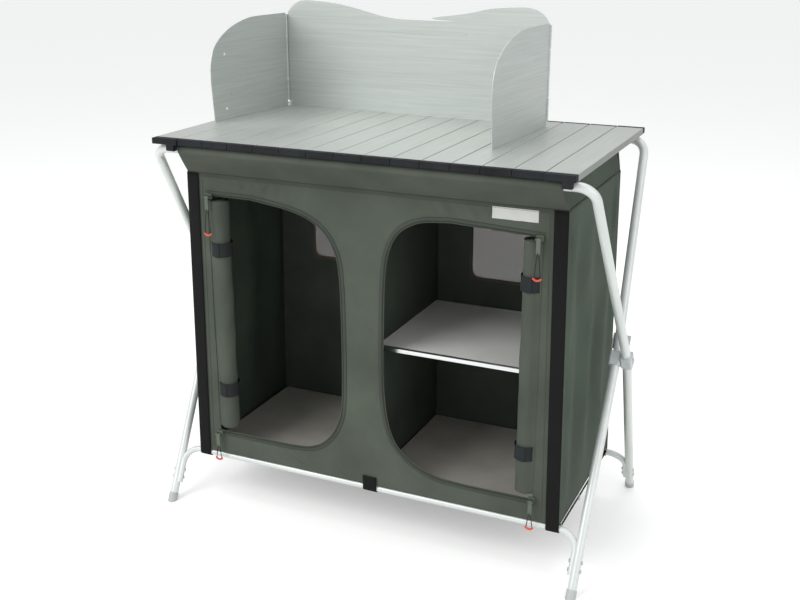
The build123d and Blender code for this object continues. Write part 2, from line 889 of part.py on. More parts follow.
# Rolled-up doors, drawn in where the ties hold them, and the flap that joins each to the panel
def make_roll(side, roll_bottom, roll_top, tie_heights):
    """A rolled door as a turned body with two waists, and its flap behind the panel."""
    low_tie, high_tie = tie_heights
    hold = tie_height / 2 + 1
    reach = tie_height / 2 + 20
    with BuildPart() as roll:
        with BuildSketch(Plane(origin=(side * roll_x, roll_y, 0), x_dir=(1, 0, 0), z_dir=(0, -1, 0))):
            with BuildLine():
                Polyline(
                    (roll_radius - 3, roll_top),
                    (0, roll_top),
                    (0, roll_bottom),
                    (roll_radius - 3, roll_bottom),
                )
                RadiusArc((roll_radius - 3, roll_bottom), (roll_radius, roll_bottom + 3), -3)
                Line((roll_radius, roll_bottom + 3), (roll_radius, low_tie - reach))
                Line((roll_radius, low_tie - reach), (roll_waist, low_tie - hold))
                Line((roll_waist, low_tie - hold), (roll_waist, low_tie + hold))
                Line((roll_waist, low_tie + hold), (roll_radius, low_tie + reach))
                Line((roll_radius, low_tie + reach), (roll_radius, high_tie - reach))
                Line((roll_radius, high_tie - reach), (roll_waist, high_tie - hold))
                Line((roll_waist, high_tie - hold), (roll_waist, high_tie + hold))
                Line((roll_waist, high_tie + hold), (roll_radius, high_tie + reach))
                Line((roll_radius, high_tie + reach), (roll_radius, roll_top - 3))
                RadiusArc((roll_radius, roll_top - 3), (roll_radius - 3, roll_top), -3)
            make_face()
        revolve(axis=Axis((side * roll_x, roll_y, 0), (0, 0, 1)), revolution_arc=360)
        flap_x = side * (door_outer + roll_flap / 2 - 3)
        flap_y = -box_half_depth + cloth / 2 + 0.7
        for low, high in ((roll_bottom + 5, low_tie - hold - 2), (low_tie + hold + 2, high_tie - hold - 2)):
            with BuildSketch(Plane.XY.offset(low)):
                with Locations((flap_x, flap_y)):
                    Rectangle(roll_flap + 6, 1.0)
            extrude(amount=high - low)
    return roll


save(make_roll(-1, left_roll_bottom, left_roll_top, left_tie_heights), "door_roll_left")
save(make_roll(1, right_roll_bottom, right_roll_top, right_tie_heights), "door_roll_right")

with BuildPart() as door_ties:
    for side, heights in ((-1, left_tie_heights), (1, right_tie_heights)):
        for height in heights:
            with BuildSketch(Plane.XY.offset(height - tie_height / 2)):
                with Locations((side * roll_x, roll_y)):
                    Circle(tie_outer)
                    Circle(tie_inner, mode=Mode.SUBTRACT)
            extrude(amount=tie_height)
save(door_ties, "door_ties")


# Zip sliders with hanging pulls: a tab on a pin, a cord loop through the tab's eye, and a soft tip
def make_slider(x, height):
    """A slider on the zip, with two ears and the pin that carries the pull."""
    ear_x = pull_width / 2 + 0.3
    with BuildPart() as slider:
        with BuildSketch(Plane.XZ.offset(-slider_back)):
            with Locations((x, height)):
                RectangleRounded(slider_length, slider_width, 2.5)
        extrude(amount=slider_back - slider_front)
        fillet(slider.faces().sort_by(Axis.Y)[0].edges(), 1.0)
        for hand in (-1, 1):
            with BuildSketch(Plane.YZ.offset(x + hand * ear_x)):
                with BuildLine():
                    Polyline(
                        (slider_front + 1, height + 3.5),
                        (slider_front + 1, height - 3.5),
                        (pull_plane, height - 2),
                        (pull_plane, height + 2),
                        close=True,
                    )
                make_face()
                with Locations((pull_plane, height)):
                    Circle(2)
            extrude(amount=hand * slider_ear)
        with BuildSketch(Plane.YZ.offset(x - ear_x - slider_ear / 2)):
            with Locations((pull_plane, height)):
                Circle(pull_pin_radius)
        extrude(amount=2 * ear_x + slider_ear)
    return slider


def make_pull(x, height, loop_length):
    """The pull of a slider: its tab, and a cord loop whose ends are moulded into a bow-shaped tip."""
    eye_z = height + pull_above - pull_length + eye_margin
    tip_top = eye_z - loop_length
    with BuildPart() as pull:
        with BuildSketch(Plane.XZ.offset(-pull_plane - pull_thick / 2)):
            with Locations((x, height + pull_above - pull_length / 2)):
                RectangleRounded(pull_width, pull_length, 2.6)
            with Locations((x, eye_z)):
                Circle(eye_radius, mode=Mode.SUBTRACT)
        extrude(amount=pull_thick)
        with BuildSketch(Plane.YZ.offset(x - pull_width / 2)):
            with Locations((pull_plane, height)):
                Circle(2)
        extrude(amount=pull_width)
        with BuildSketch(Plane.YZ.offset(x - pull_width)):
            with Locations((pull_plane, height)):
                Circle(pull_pin_radius + running_fit)
        extrude(amount=2 * pull_width, mode=Mode.SUBTRACT)
        with BuildLine() as path:
            FilletPolyline(
                (x - tip_anchor, pull_plane, tip_top),
                (x - loop_cross, pull_plane - loop_half_top, eye_z),
                (x + loop_cross, pull_plane + loop_half_top, eye_z),
                (x + tip_anchor, pull_plane, tip_top),
                radius=loop_bend,
            )
        with BuildSketch(Plane(origin=path.line @ 0, z_dir=path.line % 0)):
            Circle(loop_radius)
        sweep(path=path.line)
        with BuildLine() as bow:
            ThreePointArc(
                (x - tip_half, pull_plane, tip_top + 1),
                (x, pull_plane, tip_top + 1 - tip_drop),
                (x + tip_half, pull_plane, tip_top + 1),
            )
        with BuildSketch(Plane(origin=bow.line @ 0, z_dir=bow.line % 0)):
            Circle(tip_radius)
        sweep(path=bow.line)
    loop_length = sum(edge.length for edge in path.edges())
    print("cord loop", round(loop_length, 1), "mm long, bend radius", loop_bend, "cord radius", loop_radius)
    return pull


pulls = (
    ("left_top", -top_slider_x, left_slider_z, left_loop_length),
    ("right_top", top_slider_x, right_slider_z, right_loop_length),
    ("left_bottom", -bottom_slider_x, bottom_slider_z, bottom_loop_length),
    ("right_bottom", bottom_slider_x, bottom_slider_z, bottom_loop_length),
)
for place, x, height, loop_length in pulls:
    save(make_slider(x, height), f"zip_slider_{place}")
    save(make_pull(x, height, loop_length), f"zip_pull_{place}")


# Webbing: corner straps that loop under the lower rails, a middle loop at each, and a strap at each end
def rail_loop(side, low_x, high_x, top):
    """The hooked end of a strap, from a height down, round under a lower rail and up to the floor."""
    inner = lower_rail_radius + webbing_clear
    outer = inner + webbing_thick
    y = side * lower_rail_y
    with BuildPart() as loop:
        with BuildSketch(Plane.YZ.offset(low_x)):
            with BuildLine():
                Polyline(
                    (y + side * inner, lower_rail_height),
                    (y + side * inner, top),
                    (y + side * outer, top),
                    (y + side * outer, lower_rail_height),
                )
                ThreePointArc(
                    (y + side * outer, lower_rail_height),
                    (y, lower_rail_height - outer),
                    (y - side * outer, lower_rail_height),
                )
                Polyline(
                    (y - side * outer, lower_rail_height),
                    (y - side * outer, box_bottom - 0.4),
                    (y - side * inner, box_bottom - 0.4),
                    (y - side * inner, lower_rail_height),
                )
                ThreePointArc(
                    (y - side * inner, lower_rail_height),
                    (y, lower_rail_height - inner),
                    (y + side * inner, lower_rail_height),
                )
            make_face()
        extrude(amount=high_x - low_x)
    return loop.part


strap_inner_face = lower_rail_y + lower_rail_radius + webbing_clear


def make_straps(side):
    """The two corner straps and the middle loop at the front or the rear lower rail."""
    with BuildPart() as straps:
        add(rail_loop(side, corner_strap_low - webbing_width, corner_strap_low, box_bottom + 12))
        with BuildSketch(Plane.XZ.offset(-side * strap_inner_face)):
            with BuildLine():
                Polyline(
                    (corner_strap_low - webbing_width, box_bottom + 10),
                    (corner_strap_low, box_bottom + 10),
                    (box_half_top, box_top),
                    (box_half_top - webbing_width, box_top),
                    close=True,
                )
            make_face()
        extrude(amount=-side * webbing_thick)
        mirror(about=Plane.YZ)
        loop_low = centre_loop_x - centre_loop_width / 2
        add(rail_loop(side, loop_low, loop_low + centre_loop_width, centre_loop_top))
    return straps


save(make_straps(-1), "front_straps")
save(make_straps(1), "rear_straps")

with BuildPart() as side_straps:
    for hand in (-1, 1):
        with BuildSketch(Plane.YZ.offset(hand * side_strap_x)):
            with Locations((0, side_strap_height)):
                Rectangle(2 * (lower_rail_y - 8.0), side_strap_width)
        extrude(amount=hand * side_strap_thick)
save(side_straps, "side_straps")

# Boards that stiffen the floor, and the shelf with its edge profiles
board_bottom = box_bottom + cloth + board_gap
with BuildPart() as floor_boards:
    with BuildSketch(Plane.XY.offset(board_bottom)):
        board_middle = (board_inner + board_outer) / 2
        with Locations((-board_middle, 0), (board_middle, 0)):
            RectangleRounded(board_outer - board_inner, 2 * board_half_depth, 6.0)
    extrude(amount=board_thick)
save(floor_boards, "floor_boards")

shelf_middle = (shelf_inner + shelf_outer) / 2
with BuildPart() as shelf_board:
    with BuildSketch(Plane.XY.offset(shelf_top - board_thick)):
        with Locations((shelf_middle, (shelf_front + shelf_back) / 2)):
            Rectangle(shelf_outer - shelf_inner, shelf_back - shelf_front)
    extrude(amount=board_thick)
save(shelf_board, "shelf_board")

with BuildPart() as shelf_edges:
    slot_half = board_thick / 2 + board_gap
    edge_half = slot_half + shelf_edge_wall
    shelf_mid = shelf_top - board_thick / 2
    for edge_y, inward in ((shelf_front, 1), (shelf_back, -1)):
        outside = edge_y - inward * (board_gap + shelf_edge_wall)
        with BuildSketch(Plane.YZ.offset(shelf_inner)):
            with BuildLine():
                Polyline(
                    (outside, shelf_mid - edge_half),
                    (outside, shelf_mid + edge_half),
                    (outside + inward * shelf_edge_depth, shelf_mid + edge_half),
                    (outside + inward * shelf_edge_depth, shelf_mid + slot_half),
                    (outside + inward * shelf_edge_wall, shelf_mid + slot_half),
                    (outside + inward * shelf_edge_wall, shelf_mid - slot_half),
                    (outside + inward * shelf_edge_depth, shelf_mid - slot_half),
                    (outside + inward * shelf_edge_depth, shelf_mid - edge_half),
                    close=True,
                )
            make_face()
        extrude(amount=shelf_outer - shelf_inner)
save(shelf_edges, "shelf_edges")

print("lean of the legs", round(degrees(lean), 2), "degrees, lower rails at y", round(lower_rail_y, 1))
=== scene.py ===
# %% [markdown]
# # Camping cupboard
# A folding camp cupboard is a slat top on two crossing tube frames, with a cloth cupboard hung between
# their rails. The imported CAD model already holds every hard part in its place. A learner could model
# all of it again here, but two models of one part soon differ, so this script keeps the hard parts and
# only dresses them: cloth, webbing, nets, zips and cords become meshes, and every surface gets a
# material worked out from its real one. All lengths are metres, with Z up.

import math

import bmesh
import bpy
import numpy as np
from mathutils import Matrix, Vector


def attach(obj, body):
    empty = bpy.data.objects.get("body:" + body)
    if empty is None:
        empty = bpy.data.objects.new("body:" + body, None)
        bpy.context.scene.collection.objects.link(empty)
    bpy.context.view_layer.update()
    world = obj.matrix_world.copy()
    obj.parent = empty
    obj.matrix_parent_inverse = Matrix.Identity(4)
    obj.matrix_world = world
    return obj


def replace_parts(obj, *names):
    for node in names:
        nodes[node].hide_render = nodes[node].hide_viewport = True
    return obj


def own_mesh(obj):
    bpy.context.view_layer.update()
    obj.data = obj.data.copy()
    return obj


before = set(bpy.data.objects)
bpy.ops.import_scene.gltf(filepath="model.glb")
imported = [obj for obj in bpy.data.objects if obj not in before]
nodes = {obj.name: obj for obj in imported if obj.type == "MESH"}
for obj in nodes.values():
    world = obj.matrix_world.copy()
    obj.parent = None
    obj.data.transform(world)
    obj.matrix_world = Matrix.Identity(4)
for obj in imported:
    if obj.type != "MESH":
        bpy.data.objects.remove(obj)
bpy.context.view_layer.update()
MM = 0.001


# %% [markdown]
# ## Helpers for colours and shaders
# A renderer adds light in linear numbers, while people pick colours in sRGB. Each colour below is
# written as an sRGB hex value, and one function turns it linear, so that no colour is turned twice.
# Shader nodes can be clicked together by hand, but a script repeats them exactly: one helper adds a
# node with its settings and links, and the others join several nodes into a step of every finish.

# %% Colour and shader helpers
def linear(hex_colour):
    """An sRGB hex colour as linear RGBA: each part over 12.92 up to 0.04045, and above that the part plus
    0.055, over 1.055, to the power 2.4."""
    srgb = np.array([int(hex_colour[i : i + 2], 16) / 255 for i in (1, 3, 5)])
    rgb = np.where(srgb <= 0.04045, srgb / 12.92, ((srgb + 0.055) / 1.055) ** 2.4)
    return (*rgb.tolist(), 1.0)


def add(tree, kind, settings=None, **inputs):
    """Add a shader node, set its settings, and set or link its inputs by name, or by number as i0 or i1.

    A node given for an input stands for its first output.
    """
    made = tree.nodes.new("ShaderNode" + kind)
    for key, value in (settings or {}).items():
        setattr(made, key, value)
    for key, value in inputs.items():
        socket = made.inputs[int(key[1:]) if key[1:].isdigit() else key.replace("_", " ")]
        if isinstance(value, bpy.types.Node):
            value = value.outputs[0]
        if isinstance(value, bpy.types.NodeSocket):
            tree.links.new(value, socket)
        else:
            socket.default_value = value
    return made


def new_material(name):
    """An empty material, its tree, and the Object and the flat coordinates."""
    made = bpy.data.materials.new(name)
    made.use_nodes = True
    tree = made.node_tree
    tree.nodes.clear()
    coordinates = add(tree, "TexCoord")
    return made, tree, coordinates.outputs["Object"], coordinates.outputs["UV"]


# Noise seldom leaves this span, so a pattern between its ends uses all of its range
NOISE_SPAN = (0.3, 0.7)


def tint(tree, pattern, under, over, span=NOISE_SPAN, shares=(0.0, 1.0)):
    """One colour over another by a pattern: while the pattern goes from one end of its span to the other,
    the share of the second colour goes evenly from the first share to the last."""
    (low, high), (least, most) = span, shares
    share = add(tree, "MapRange", Value=pattern, From_Min=low, From_Max=high, To_Min=least, To_Max=most)
    return add(tree, "Mix", {"data_type": "RGBA"}, i0=share, i6=under, i7=over).outputs[2]


def finish_material(tree, colour, roughness, **more):
    """Close a material with a principled surface and the output."""
    surface = add(tree, "BsdfPrincipled", Base_Color=colour, Roughness=roughness, **more)
    add(tree, "OutputMaterial", Surface=surface)
    return surface


# %% [markdown]
# ## Cloth, webbing and net
# The cupboard is sewn from polyester canvas, a plain weave of yarns just under a millimetre apart, and
# its straps are coarser polypropylene webbing. A photo texture would bring in someone's folds and
# light, so the weave is two crossed waves that take turns over a checker, in the piece's own flat
# coordinates in metres. Yarn that follows the flat coordinates bends with every fold of the cloth.

# %% Woven and knitted materials
# At this scale, a wave texture has one band to the metre
ONE_BAND = 0.314


def woven(name, dark, light, yarn, wrinkle=1.0, sheen=0.25, rough=0.82):
    """A plain weave that follows the piece's own UV map in metres, with soft creases and a dusty sheen.

    Each wave has one band to a yarn. The tone between dark and light is 28 percent of the weave plus a
    broad cloud, and up to a quarter of the light colour lies over it in a few flecks.
    """
    made, tree, place, flat = new_material(name)
    warp, weft = (
        add(tree, "TexWave", {"bands_direction": axis}, Vector=flat, Scale=ONE_BAND / yarn) for axis in "XY"
    )
    over = add(tree, "TexChecker", Vector=flat, Scale=1 / yarn).outputs["Fac"]
    weave = add(tree, "Mix", {"data_type": "FLOAT"}, i0=over, i2=warp, i3=weft)
    cloud = add(tree, "TexNoise", Vector=place, Scale=7.0, Detail=4.0, Roughness=0.55)
    broad = add(tree, "MapRange", Value=cloud, From_Min=0.3, From_Max=0.7, To_Min=0.1, To_Max=0.62)
    tone = add(tree, "Math", {"operation": "MULTIPLY_ADD"}, i0=weave, i1=0.28, i2=broad)
    colour = add(tree, "Mix", {"data_type": "RGBA"}, i0=tone, i6=linear(dark), i7=linear(light)).outputs[2]
    fleck = add(tree, "TexNoise", Vector=flat, Scale=900.0, Detail=2.0)
    colour = tint(tree, fleck, colour, linear(light), (0.62, 0.8), (0.0, 0.25))
    creases = add(tree, "TexNoise", Vector=place, Scale=13.0, Detail=3.0, Roughness=0.45)
    relief = add(tree, "Bump", Height=creases, Strength=0.35 * wrinkle, Distance=0.006)
    relief = add(tree, "Bump", Height=weave, Strength=0.3, Distance=0.0004, Normal=relief)
    finish_material(
        tree,
        colour,
        rough,
        Normal=relief,
        Sheen_Weight=sheen,
        Sheen_Roughness=0.5,
        Sheen_Tint=linear(light),
        Specular_IOR_Level=0.25,
    )
    return made


# Polyester canvas of the cupboard's outside, grey green
canvas = woven("polyester_canvas", "#3a4139", "#5a6056", 0.0009)
# The same canvas made darker for the inside, as painted shade where the light hardly reaches
shaded_lining = woven("polyester_canvas_lining_painted_shade", "#333a33", "#4a5148", 0.0009)
# Ends of the cupboard, in the same canvas made darker as painted shade on the box's sides
shaded_end_canvas = woven("polyester_canvas_ends_painted_shade", "#374038", "#505a4f", 0.0009, wrinkle=1.4)
# Black polypropylene webbing, with coarse yarns
webbing = woven("polypropylene_webbing", "#040404", "#111211", 0.0016, wrinkle=0.4, sheen=0.02, rough=0.85)
# Dark grey ties of hook-and-loop tape
tie_tape = woven("hook_and_loop_tie", "#181b1c", "#303435", 0.0012, wrinkle=0.3, sheen=0.15, rough=0.9)
# Zip tape of fine twill
zip_tape = woven("zip_tape", "#363d35", "#4b5148", 0.0006, wrinkle=0.1)
# Knotted polyester net of the windows
net_yarn = woven("window_net_yarn", "#5a5147", "#7a7064", 0.0005, wrinkle=0.1)


# %% [markdown]
# ## Plastics
# End caps, collars, feet and zip parts are moulded. A mould that was spark-eroded leaves a fine even
# grain, and handling leaves the gloss a little uneven. Both are noise on Object coordinates, which
# suits hard parts: they never bend, so nothing has to follow the surface.

# %% Moulded plastics
def plastic(name, dark, light, rough, grain, height, coat=0.0, specular=0.5):
    """Moulded plastic or rubber: a broad cloud between two tones, a gloss that wanders a little, and a
    fine spark-eroded grain, given by its scale per metre and its height in metres."""
    made, tree, place, _ = new_material(name)
    cloud = add(tree, "TexNoise", Vector=place, Scale=18.0, Detail=2.0)
    rubbed = add(tree, "TexNoise", Vector=place, Scale=60.0, Detail=3.0)
    fine = add(tree, "TexNoise", Vector=place, Scale=grain, Detail=2.0)
    gloss = add(
        tree, "MapRange", Value=rubbed, From_Min=0.3, From_Max=0.7, To_Min=rough - 0.06, To_Max=rough + 0.08
    )
    finish_material(
        tree,
        tint(tree, cloud, linear(dark), linear(light)),
        gloss,
        Normal=add(tree, "Bump", Height=fine, Strength=0.25, Distance=height),
        Coat_Weight=coat,
        Specular_IOR_Level=specular,
    )
    return made


# Dark grey nylon of the slats' end caps
cap_nylon = plastic("end_cap_nylon", "#121416", "#202327", 0.66, 1400.0, 0.0002, 0.0, 0.2)
# Pale grey nylon of the pivot collars
collar_nylon = plastic("pivot_collar_nylon", "#b9bec0", "#ccd1d2", 0.42, 1500.0, 0.0002)
# Milky plastic of the feet
foot_plastic = plastic("foot_cap_polyethylene", "#a4a8a6", "#bcc0be", 0.42, 900.0, 0.0002, 0.1)
# Zip coil of black nylon
coil_nylon = plastic("zip_coil_nylon", "#131514", "#252826", 0.45, 2500.0, 0.0002)
# Lacquered slider and tab of the zips, olive grey
slider_lacquer = plastic("slider_lacquer", "#444e42", "#596353", 0.4, 1800.0, 0.0001, 0.15)
# Soft orange red tips of the zip pulls
tip_rubber = plastic("pull_tip_soft_plastic", "#bd3e2d", "#dc5742", 0.45, 1100.0, 0.0003)
# Braided cover of the pull cords and of the shock cord
cord_cover = plastic("braided_cord_cover", "#101111", "#2a2c2b", 0.8, 2400.0, 0.0006)
# Bare woven label patch, nearly white
label_weave = woven("label_patch_weave", "#b7bab4", "#d3d5cf", 0.0007, wrinkle=0.1, sheen=0.1)
# Sewing thread
thread = plastic("sewing_thread", "#2f362d", "#465043", 0.8, 2500.0, 0.0002)

# %% [markdown]
# ## Metals, paint and boards
# The slats are drawn aluminium, anodised pale, so their streaks run along them. The windscreen is
# rolled sheet with streaks across it, the legs are steel tube with white powder coating, which dries
# to a faint orange peel, and the shelf is faced fibreboard. Streaks are noise stretched along one axis.

# %% Metals, paint and board
SLATS, SLAT_PITCH = 15, 0.056
# Whole pitches added to X, so that it counts from beyond the end caps and is never below zero
SPARE_PITCHES = 4


def brushed(name, colour, worn, streak, rough, metallic=0.85, relief=0.12, seam=None):
    """Metal with fine parallel streaks, a wavy gloss and a few handling marks.

    Streak is the scale of the streaks per metre on each axis, and the marks have 0.18 times that scale.
    With a seam pitch, the tone is dark up to 0.4 mm from each whole multiple of the pitch along X, counted
    from the left end of the top, and the dark fades out at 1.3 mm: painted shade, with some grime, in the
    seams between slats.
    """
    made, tree, place, _ = new_material(name)
    patterns = []
    for scale, detail, share in (
        (streak, 3.0, 0.6),
        ((6, 6, 6), 3.0, 0.5),
        (tuple(0.18 * value for value in streak), 6.0, 0.7),
    ):
        stretched = add(tree, "Mapping", Vector=place, Scale=scale)
        patterns.append(add(tree, "TexNoise", Vector=stretched, Scale=1.0, Detail=detail, Roughness=share))
    lines, broad, marks = patterns
    tone = tint(tree, lines, linear(colour), linear(worn))
    tone = tint(tree, marks, tone, linear(worn), (0.62, 0.72), (0.0, 0.3))
    if seam is not None:
        along = add(tree, "SeparateXYZ", Vector=place)
        from_left = add(tree, "Math", {"operation": "ADD"}, i0=along, i1=(SLATS / 2 + SPARE_PITCHES) * seam)
        nearest = add(tree, "Math", {"operation": "PINGPONG"}, i0=from_left, i1=seam / 2)
        # Painted shade, with some grime, darkens the tone along the seams between slats
        tone = tint(tree, nearest, tone, linear("#4d514e"), (0.0004, 0.0013), (0.75, 0.0))
    gloss = add(
        tree, "MapRange", Value=broad, From_Min=0.3, From_Max=0.7, To_Min=rough - 0.05, To_Max=rough + 0.07
    )
    height = add(tree, "Bump", Height=lines, Strength=relief, Distance=0.0003)
    finish_material(tree, tone, gloss, Metallic=metallic, Normal=height)
    return made


# Anodised aluminium slats, drawn along their length, with painted shade and some grime at their seams
slat_streaks = (520, 5, 520)
slat_metal = brushed(
    "anodised_aluminium_slat", "#b3b7b2", "#c5c9c4", slat_streaks, 0.42, 0.65, seam=SLAT_PITCH
)
# Windscreen sheet of rolled aluminium, streaks across
screen_metal = brushed("rolled_aluminium_sheet", "#b3b8b5", "#c0c5c1", (7, 7, 300), 0.42, 0.5, 0.015)
# Bright aluminium edge of the shelf
edge_metal = brushed("bright_aluminium_edge", "#c6caca", "#dde0e0", (8, 700, 700), 0.25, 0.95)
# Zinc plated rivets, pins and rods
plated_steel = brushed("zinc_plated_steel", "#b4b8b7", "#cacdcc", (300, 300, 300), 0.4, 0.45)


def powder_coat(name, colour, worn):
    """Powder coating: orange peel from noise of 2.4 mm grain, two tones, and a little wear where hands and
    floors rub it."""
    made, tree, place, _ = new_material(name)
    peel = add(tree, "TexNoise", Vector=place, Scale=420.0, Detail=2.0)
    cloud = add(tree, "TexNoise", Vector=place, Scale=9.0, Detail=3.0)
    scuff = add(tree, "TexNoise", Vector=place, Scale=55.0, Detail=6.0, Roughness=0.7)
    tone = tint(tree, cloud, linear(colour), linear(worn))
    finish_material(
        tree,
        tint(tree, scuff, tone, linear("#a9aca8"), (0.68, 0.74), (0.0, 0.35)),
        add(tree, "MapRange", Value=scuff, From_Min=0.3, From_Max=0.75, To_Min=0.26, To_Max=0.42),
        Metallic=0.15,
        Normal=add(tree, "Bump", Height=peel, Strength=0.12, Distance=0.0004),
        Coat_Weight=0.25,
        Coat_Roughness=0.2,
    )
    return made


# White powder coat on the steel tubes
frame_paint = powder_coat("white_powder_coated_steel", "#ced3d0", "#dadedb")


def board_material(name, dark, light, fleck):
    """Melamine-faced fibreboard with a printed speckle: a broad tone between two colours, and a third
    colour where a fine noise is high."""
    made, tree, place, _ = new_material(name)
    speckle = add(tree, "TexNoise", Vector=place, Scale=900.0, Detail=2.0)
    cloud = add(tree, "TexNoise", Vector=place, Scale=12.0, Detail=3.0)
    tone = tint(tree, cloud, linear(dark), linear(light))
    tone = tint(tree, speckle, tone, linear(fleck), (0.55, 0.7), (0.0, 0.4))
    finish_material(tree, tone, 0.5, Normal=add(tree, "Bump", Height=speckle, Strength=0.1, Distance=0.0002))
    return made


# Grey face of the floor boards
fibreboard = board_material("melamine_fibreboard_grey", "#a8a49c", "#b8b4ab", "#8f8b83")
# Nearly white face of the shelf
white_board = board_material("melamine_fibreboard_white", "#dddcd8", "#e6e5e1", "#c9c8c3")

# %% [markdown]
# ## Hard parts
# A hard part needs no new mesh: its CAD mesh is exact, and only its material changes. One table from
# material to pieces keeps that readable.

# %% Hard parts keep their CAD mesh and get their material
hard = {
    slat_metal: [f"slat_{number:02d}" for number in range(1, SLATS + 1)],
    cap_nylon: ["slat_end_caps"],
    frame_paint: ["front_top_frame", "rear_top_frame", "front_lower_rail", "rear_lower_rail"],
    plated_steel: ["front_rail_rivets", "rear_rail_rivets", "pivot_pins", "screen_hinge_rods"],
    foot_plastic: ["front_feet", "rear_feet"],
    collar_nylon: ["front_frame_collars", "rear_frame_collars"],
    screen_metal: ["screen_back", "screen_left_wing", "screen_right_wing"],
    slider_lacquer: [name for name in nodes if name.startswith("zip_slider")],
    cord_cover: ["shock_cords"],
}
for material, names in hard.items():
    for name in names:
        nodes[name].data.materials.clear()
        nodes[name].data.materials.append(material)
print(sum(len(names) for names in hard.values()), "hard pieces have their material")


# %% [markdown]
# ## Mesh helpers
# Sculpted cloth looks lively but is hard to repeat. Here each soft piece is a grid of points worked out
# by a formula, whole arrays at a time, with its own UV map in metres, and a modifier gives it its
# thickness. Tubes, small blocks and stitches are made the same way, so hundreds of them cost little.

# %% Surfaces from grids
def new_object(name, data):
    """An object that shows some data, added to the scene."""
    made = bpy.data.objects.new(name, data)
    bpy.context.scene.collection.objects.link(made)
    return made


def mesh_object(name, points, faces, material, uv=None, smooth=True):
    """A mesh from an array of points and a list of faces.

    Its UV map gives each face corner the flat coordinates, in metres, of the point it stands on.
    """
    mesh = bpy.data.meshes.new(name)
    mesh.from_pydata(points.tolist(), [], faces)
    if uv is not None:
        layer = mesh.uv_layers.new(name="flat")
        corners = np.empty(len(mesh.loops), np.int32)
        mesh.loops.foreach_get("vertex_index", corners)
        layer.data.foreach_set("uv", uv[corners].astype(np.float32).ravel())
    mesh.polygons.foreach_set("use_smooth", np.full(len(mesh.polygons), smooth))
    mesh.materials.append(material)
    mesh.update()
    return new_object(name, mesh)


def grid_faces(rows, columns, close_columns=False):
    """Quads of a grid: point (i, j) has number i times columns plus j, and each quad joins it to its
    neighbours below, beside and both. Closed columns take the first point of a row again after its last."""
    i = np.arange(rows - 1)
    j = np.arange(columns if close_columns else columns - 1)
    i, j = (value.ravel() for value in np.meshgrid(i, j, indexing="ij"))
    here, below, beside = i * columns, (i + 1) * columns, (j + 1) % columns
    return np.stack([here + j, below + j, below + beside, here + beside], 1)


def thicken(piece, thickness):
    """Give a surface its thickness, evenly to both sides."""
    solid = piece.modifiers.new("thickness", "SOLIDIFY")
    solid.thickness = thickness
    solid.offset = 0


def cloth_grid(name, points, uv, thickness, material, close_columns=False):
    """A cloth surface from a grid of points (rows, columns, 3) and its flat coordinates."""
    rows, columns = points.shape[:2]
    faces = grid_faces(rows, columns, close_columns).tolist()
    piece = mesh_object(name, points.reshape(-1, 3), faces, material, uv.reshape(-1, 2))
    thicken(piece, thickness)
    return piece


def lengths(path):
    """Distance along a path from its start: the running sum of the straight steps between its points."""
    steps = np.linalg.norm(np.diff(path, axis=0), axis=1)
    return np.concatenate([[0], np.cumsum(steps)])


def resample(path, count):
    """A path with evenly spaced points: each coordinate is read off at equal steps of the distance along
    it."""
    along = lengths(path)
    wanted = np.linspace(0, along[-1], count)
    return np.stack([np.interp(wanted, along, path[:, k]) for k in range(path.shape[1])], 1)


def smooth_curve(knots, per_span):
    """A smooth curve through knots: each span is the cubic whose slope at a knot is half the step between
    the knots on either side of it."""
    ends = np.vstack([2 * knots[0] - knots[1], knots, 2 * knots[-1] - knots[-2]])
    t = np.linspace(0, 1, per_span, endpoint=False)[None, :, None]
    a, b, c, d = (ends[k : len(ends) - 3 + k][:, None, :] for k in range(4))
    spans = 0.5 * (2 * b + (c - a) * t + (2 * a - 5 * b + 4 * c - d) * t**2 + (3 * b - a - 3 * c + d) * t**3)
    return np.vstack([spans.reshape(-1, knots.shape[1]), knots[-1]])


def tube(name, path, radius, material, sides=10, square=(0, 0, 1)):
    """A round tube along a path, with one radius or one for each point.

    Round each path point stands a ring: radius times (cosine of the angle along the first normal plus sine
    along the second). The first normal is square to the path and to a given direction off the path, the
    second is square to both.
    """
    tangent = np.gradient(path, axis=0)
    tangent /= np.linalg.norm(tangent, axis=1)[:, None]
    first = np.cross(tangent, np.asarray(square, float))
    first /= np.linalg.norm(first, axis=1)[:, None]
    second = np.cross(tangent, first)
    angle = np.linspace(0, 2 * np.pi, sides, endpoint=False)
    ring = first[:, None] * np.cos(angle)[None, :, None] + second[:, None] * np.sin(angle)[None, :, None]
    points = (path[:, None] + np.reshape(radius, (-1, 1, 1)) * ring).reshape(-1, 3)
    faces = grid_faces(len(path), sides, close_columns=True).tolist()
    faces += [list(range(sides))[::-1], list(range(len(points) - sides, len(points)))]
    uv = np.stack(np.meshgrid(lengths(path), angle * np.max(radius), indexing="ij"), -1).reshape(-1, 2)
    return mesh_object(name, points, faces, material, uv)


CORNERS = np.array([(a, b, c) for a in (-1, 1) for b in (-1, 1) for c in (-1, 1)], float) / 2
BOX_FACES = np.array([(0, 1, 3, 2), (4, 6, 7, 5), (0, 4, 5, 1), (2, 3, 7, 6), (0, 2, 6, 4), (1, 5, 7, 3)])


def boxes(name, centres, first, second, third, material):
    """Many small blocks as one mesh: a block's corners are its centre plus or minus half of each of its
    three edge vectors."""
    edges = np.stack([np.broadcast_to(value, centres.shape) for value in (first, second, third)], 1)
    points = centres[:, None] + np.einsum("kc,nci->nki", CORNERS, edges)
    faces = BOX_FACES[None] + 8 * np.arange(len(centres))[:, None, None]
    uv = points.reshape(-1, 3)[:, [0, 2]]
    return mesh_object(name, points.reshape(-1, 3), faces.reshape(-1, 4).tolist(), material, uv, smooth=False)


STITCH_WIDTH, STITCH_HEIGHT = 0.0007, 0.0005


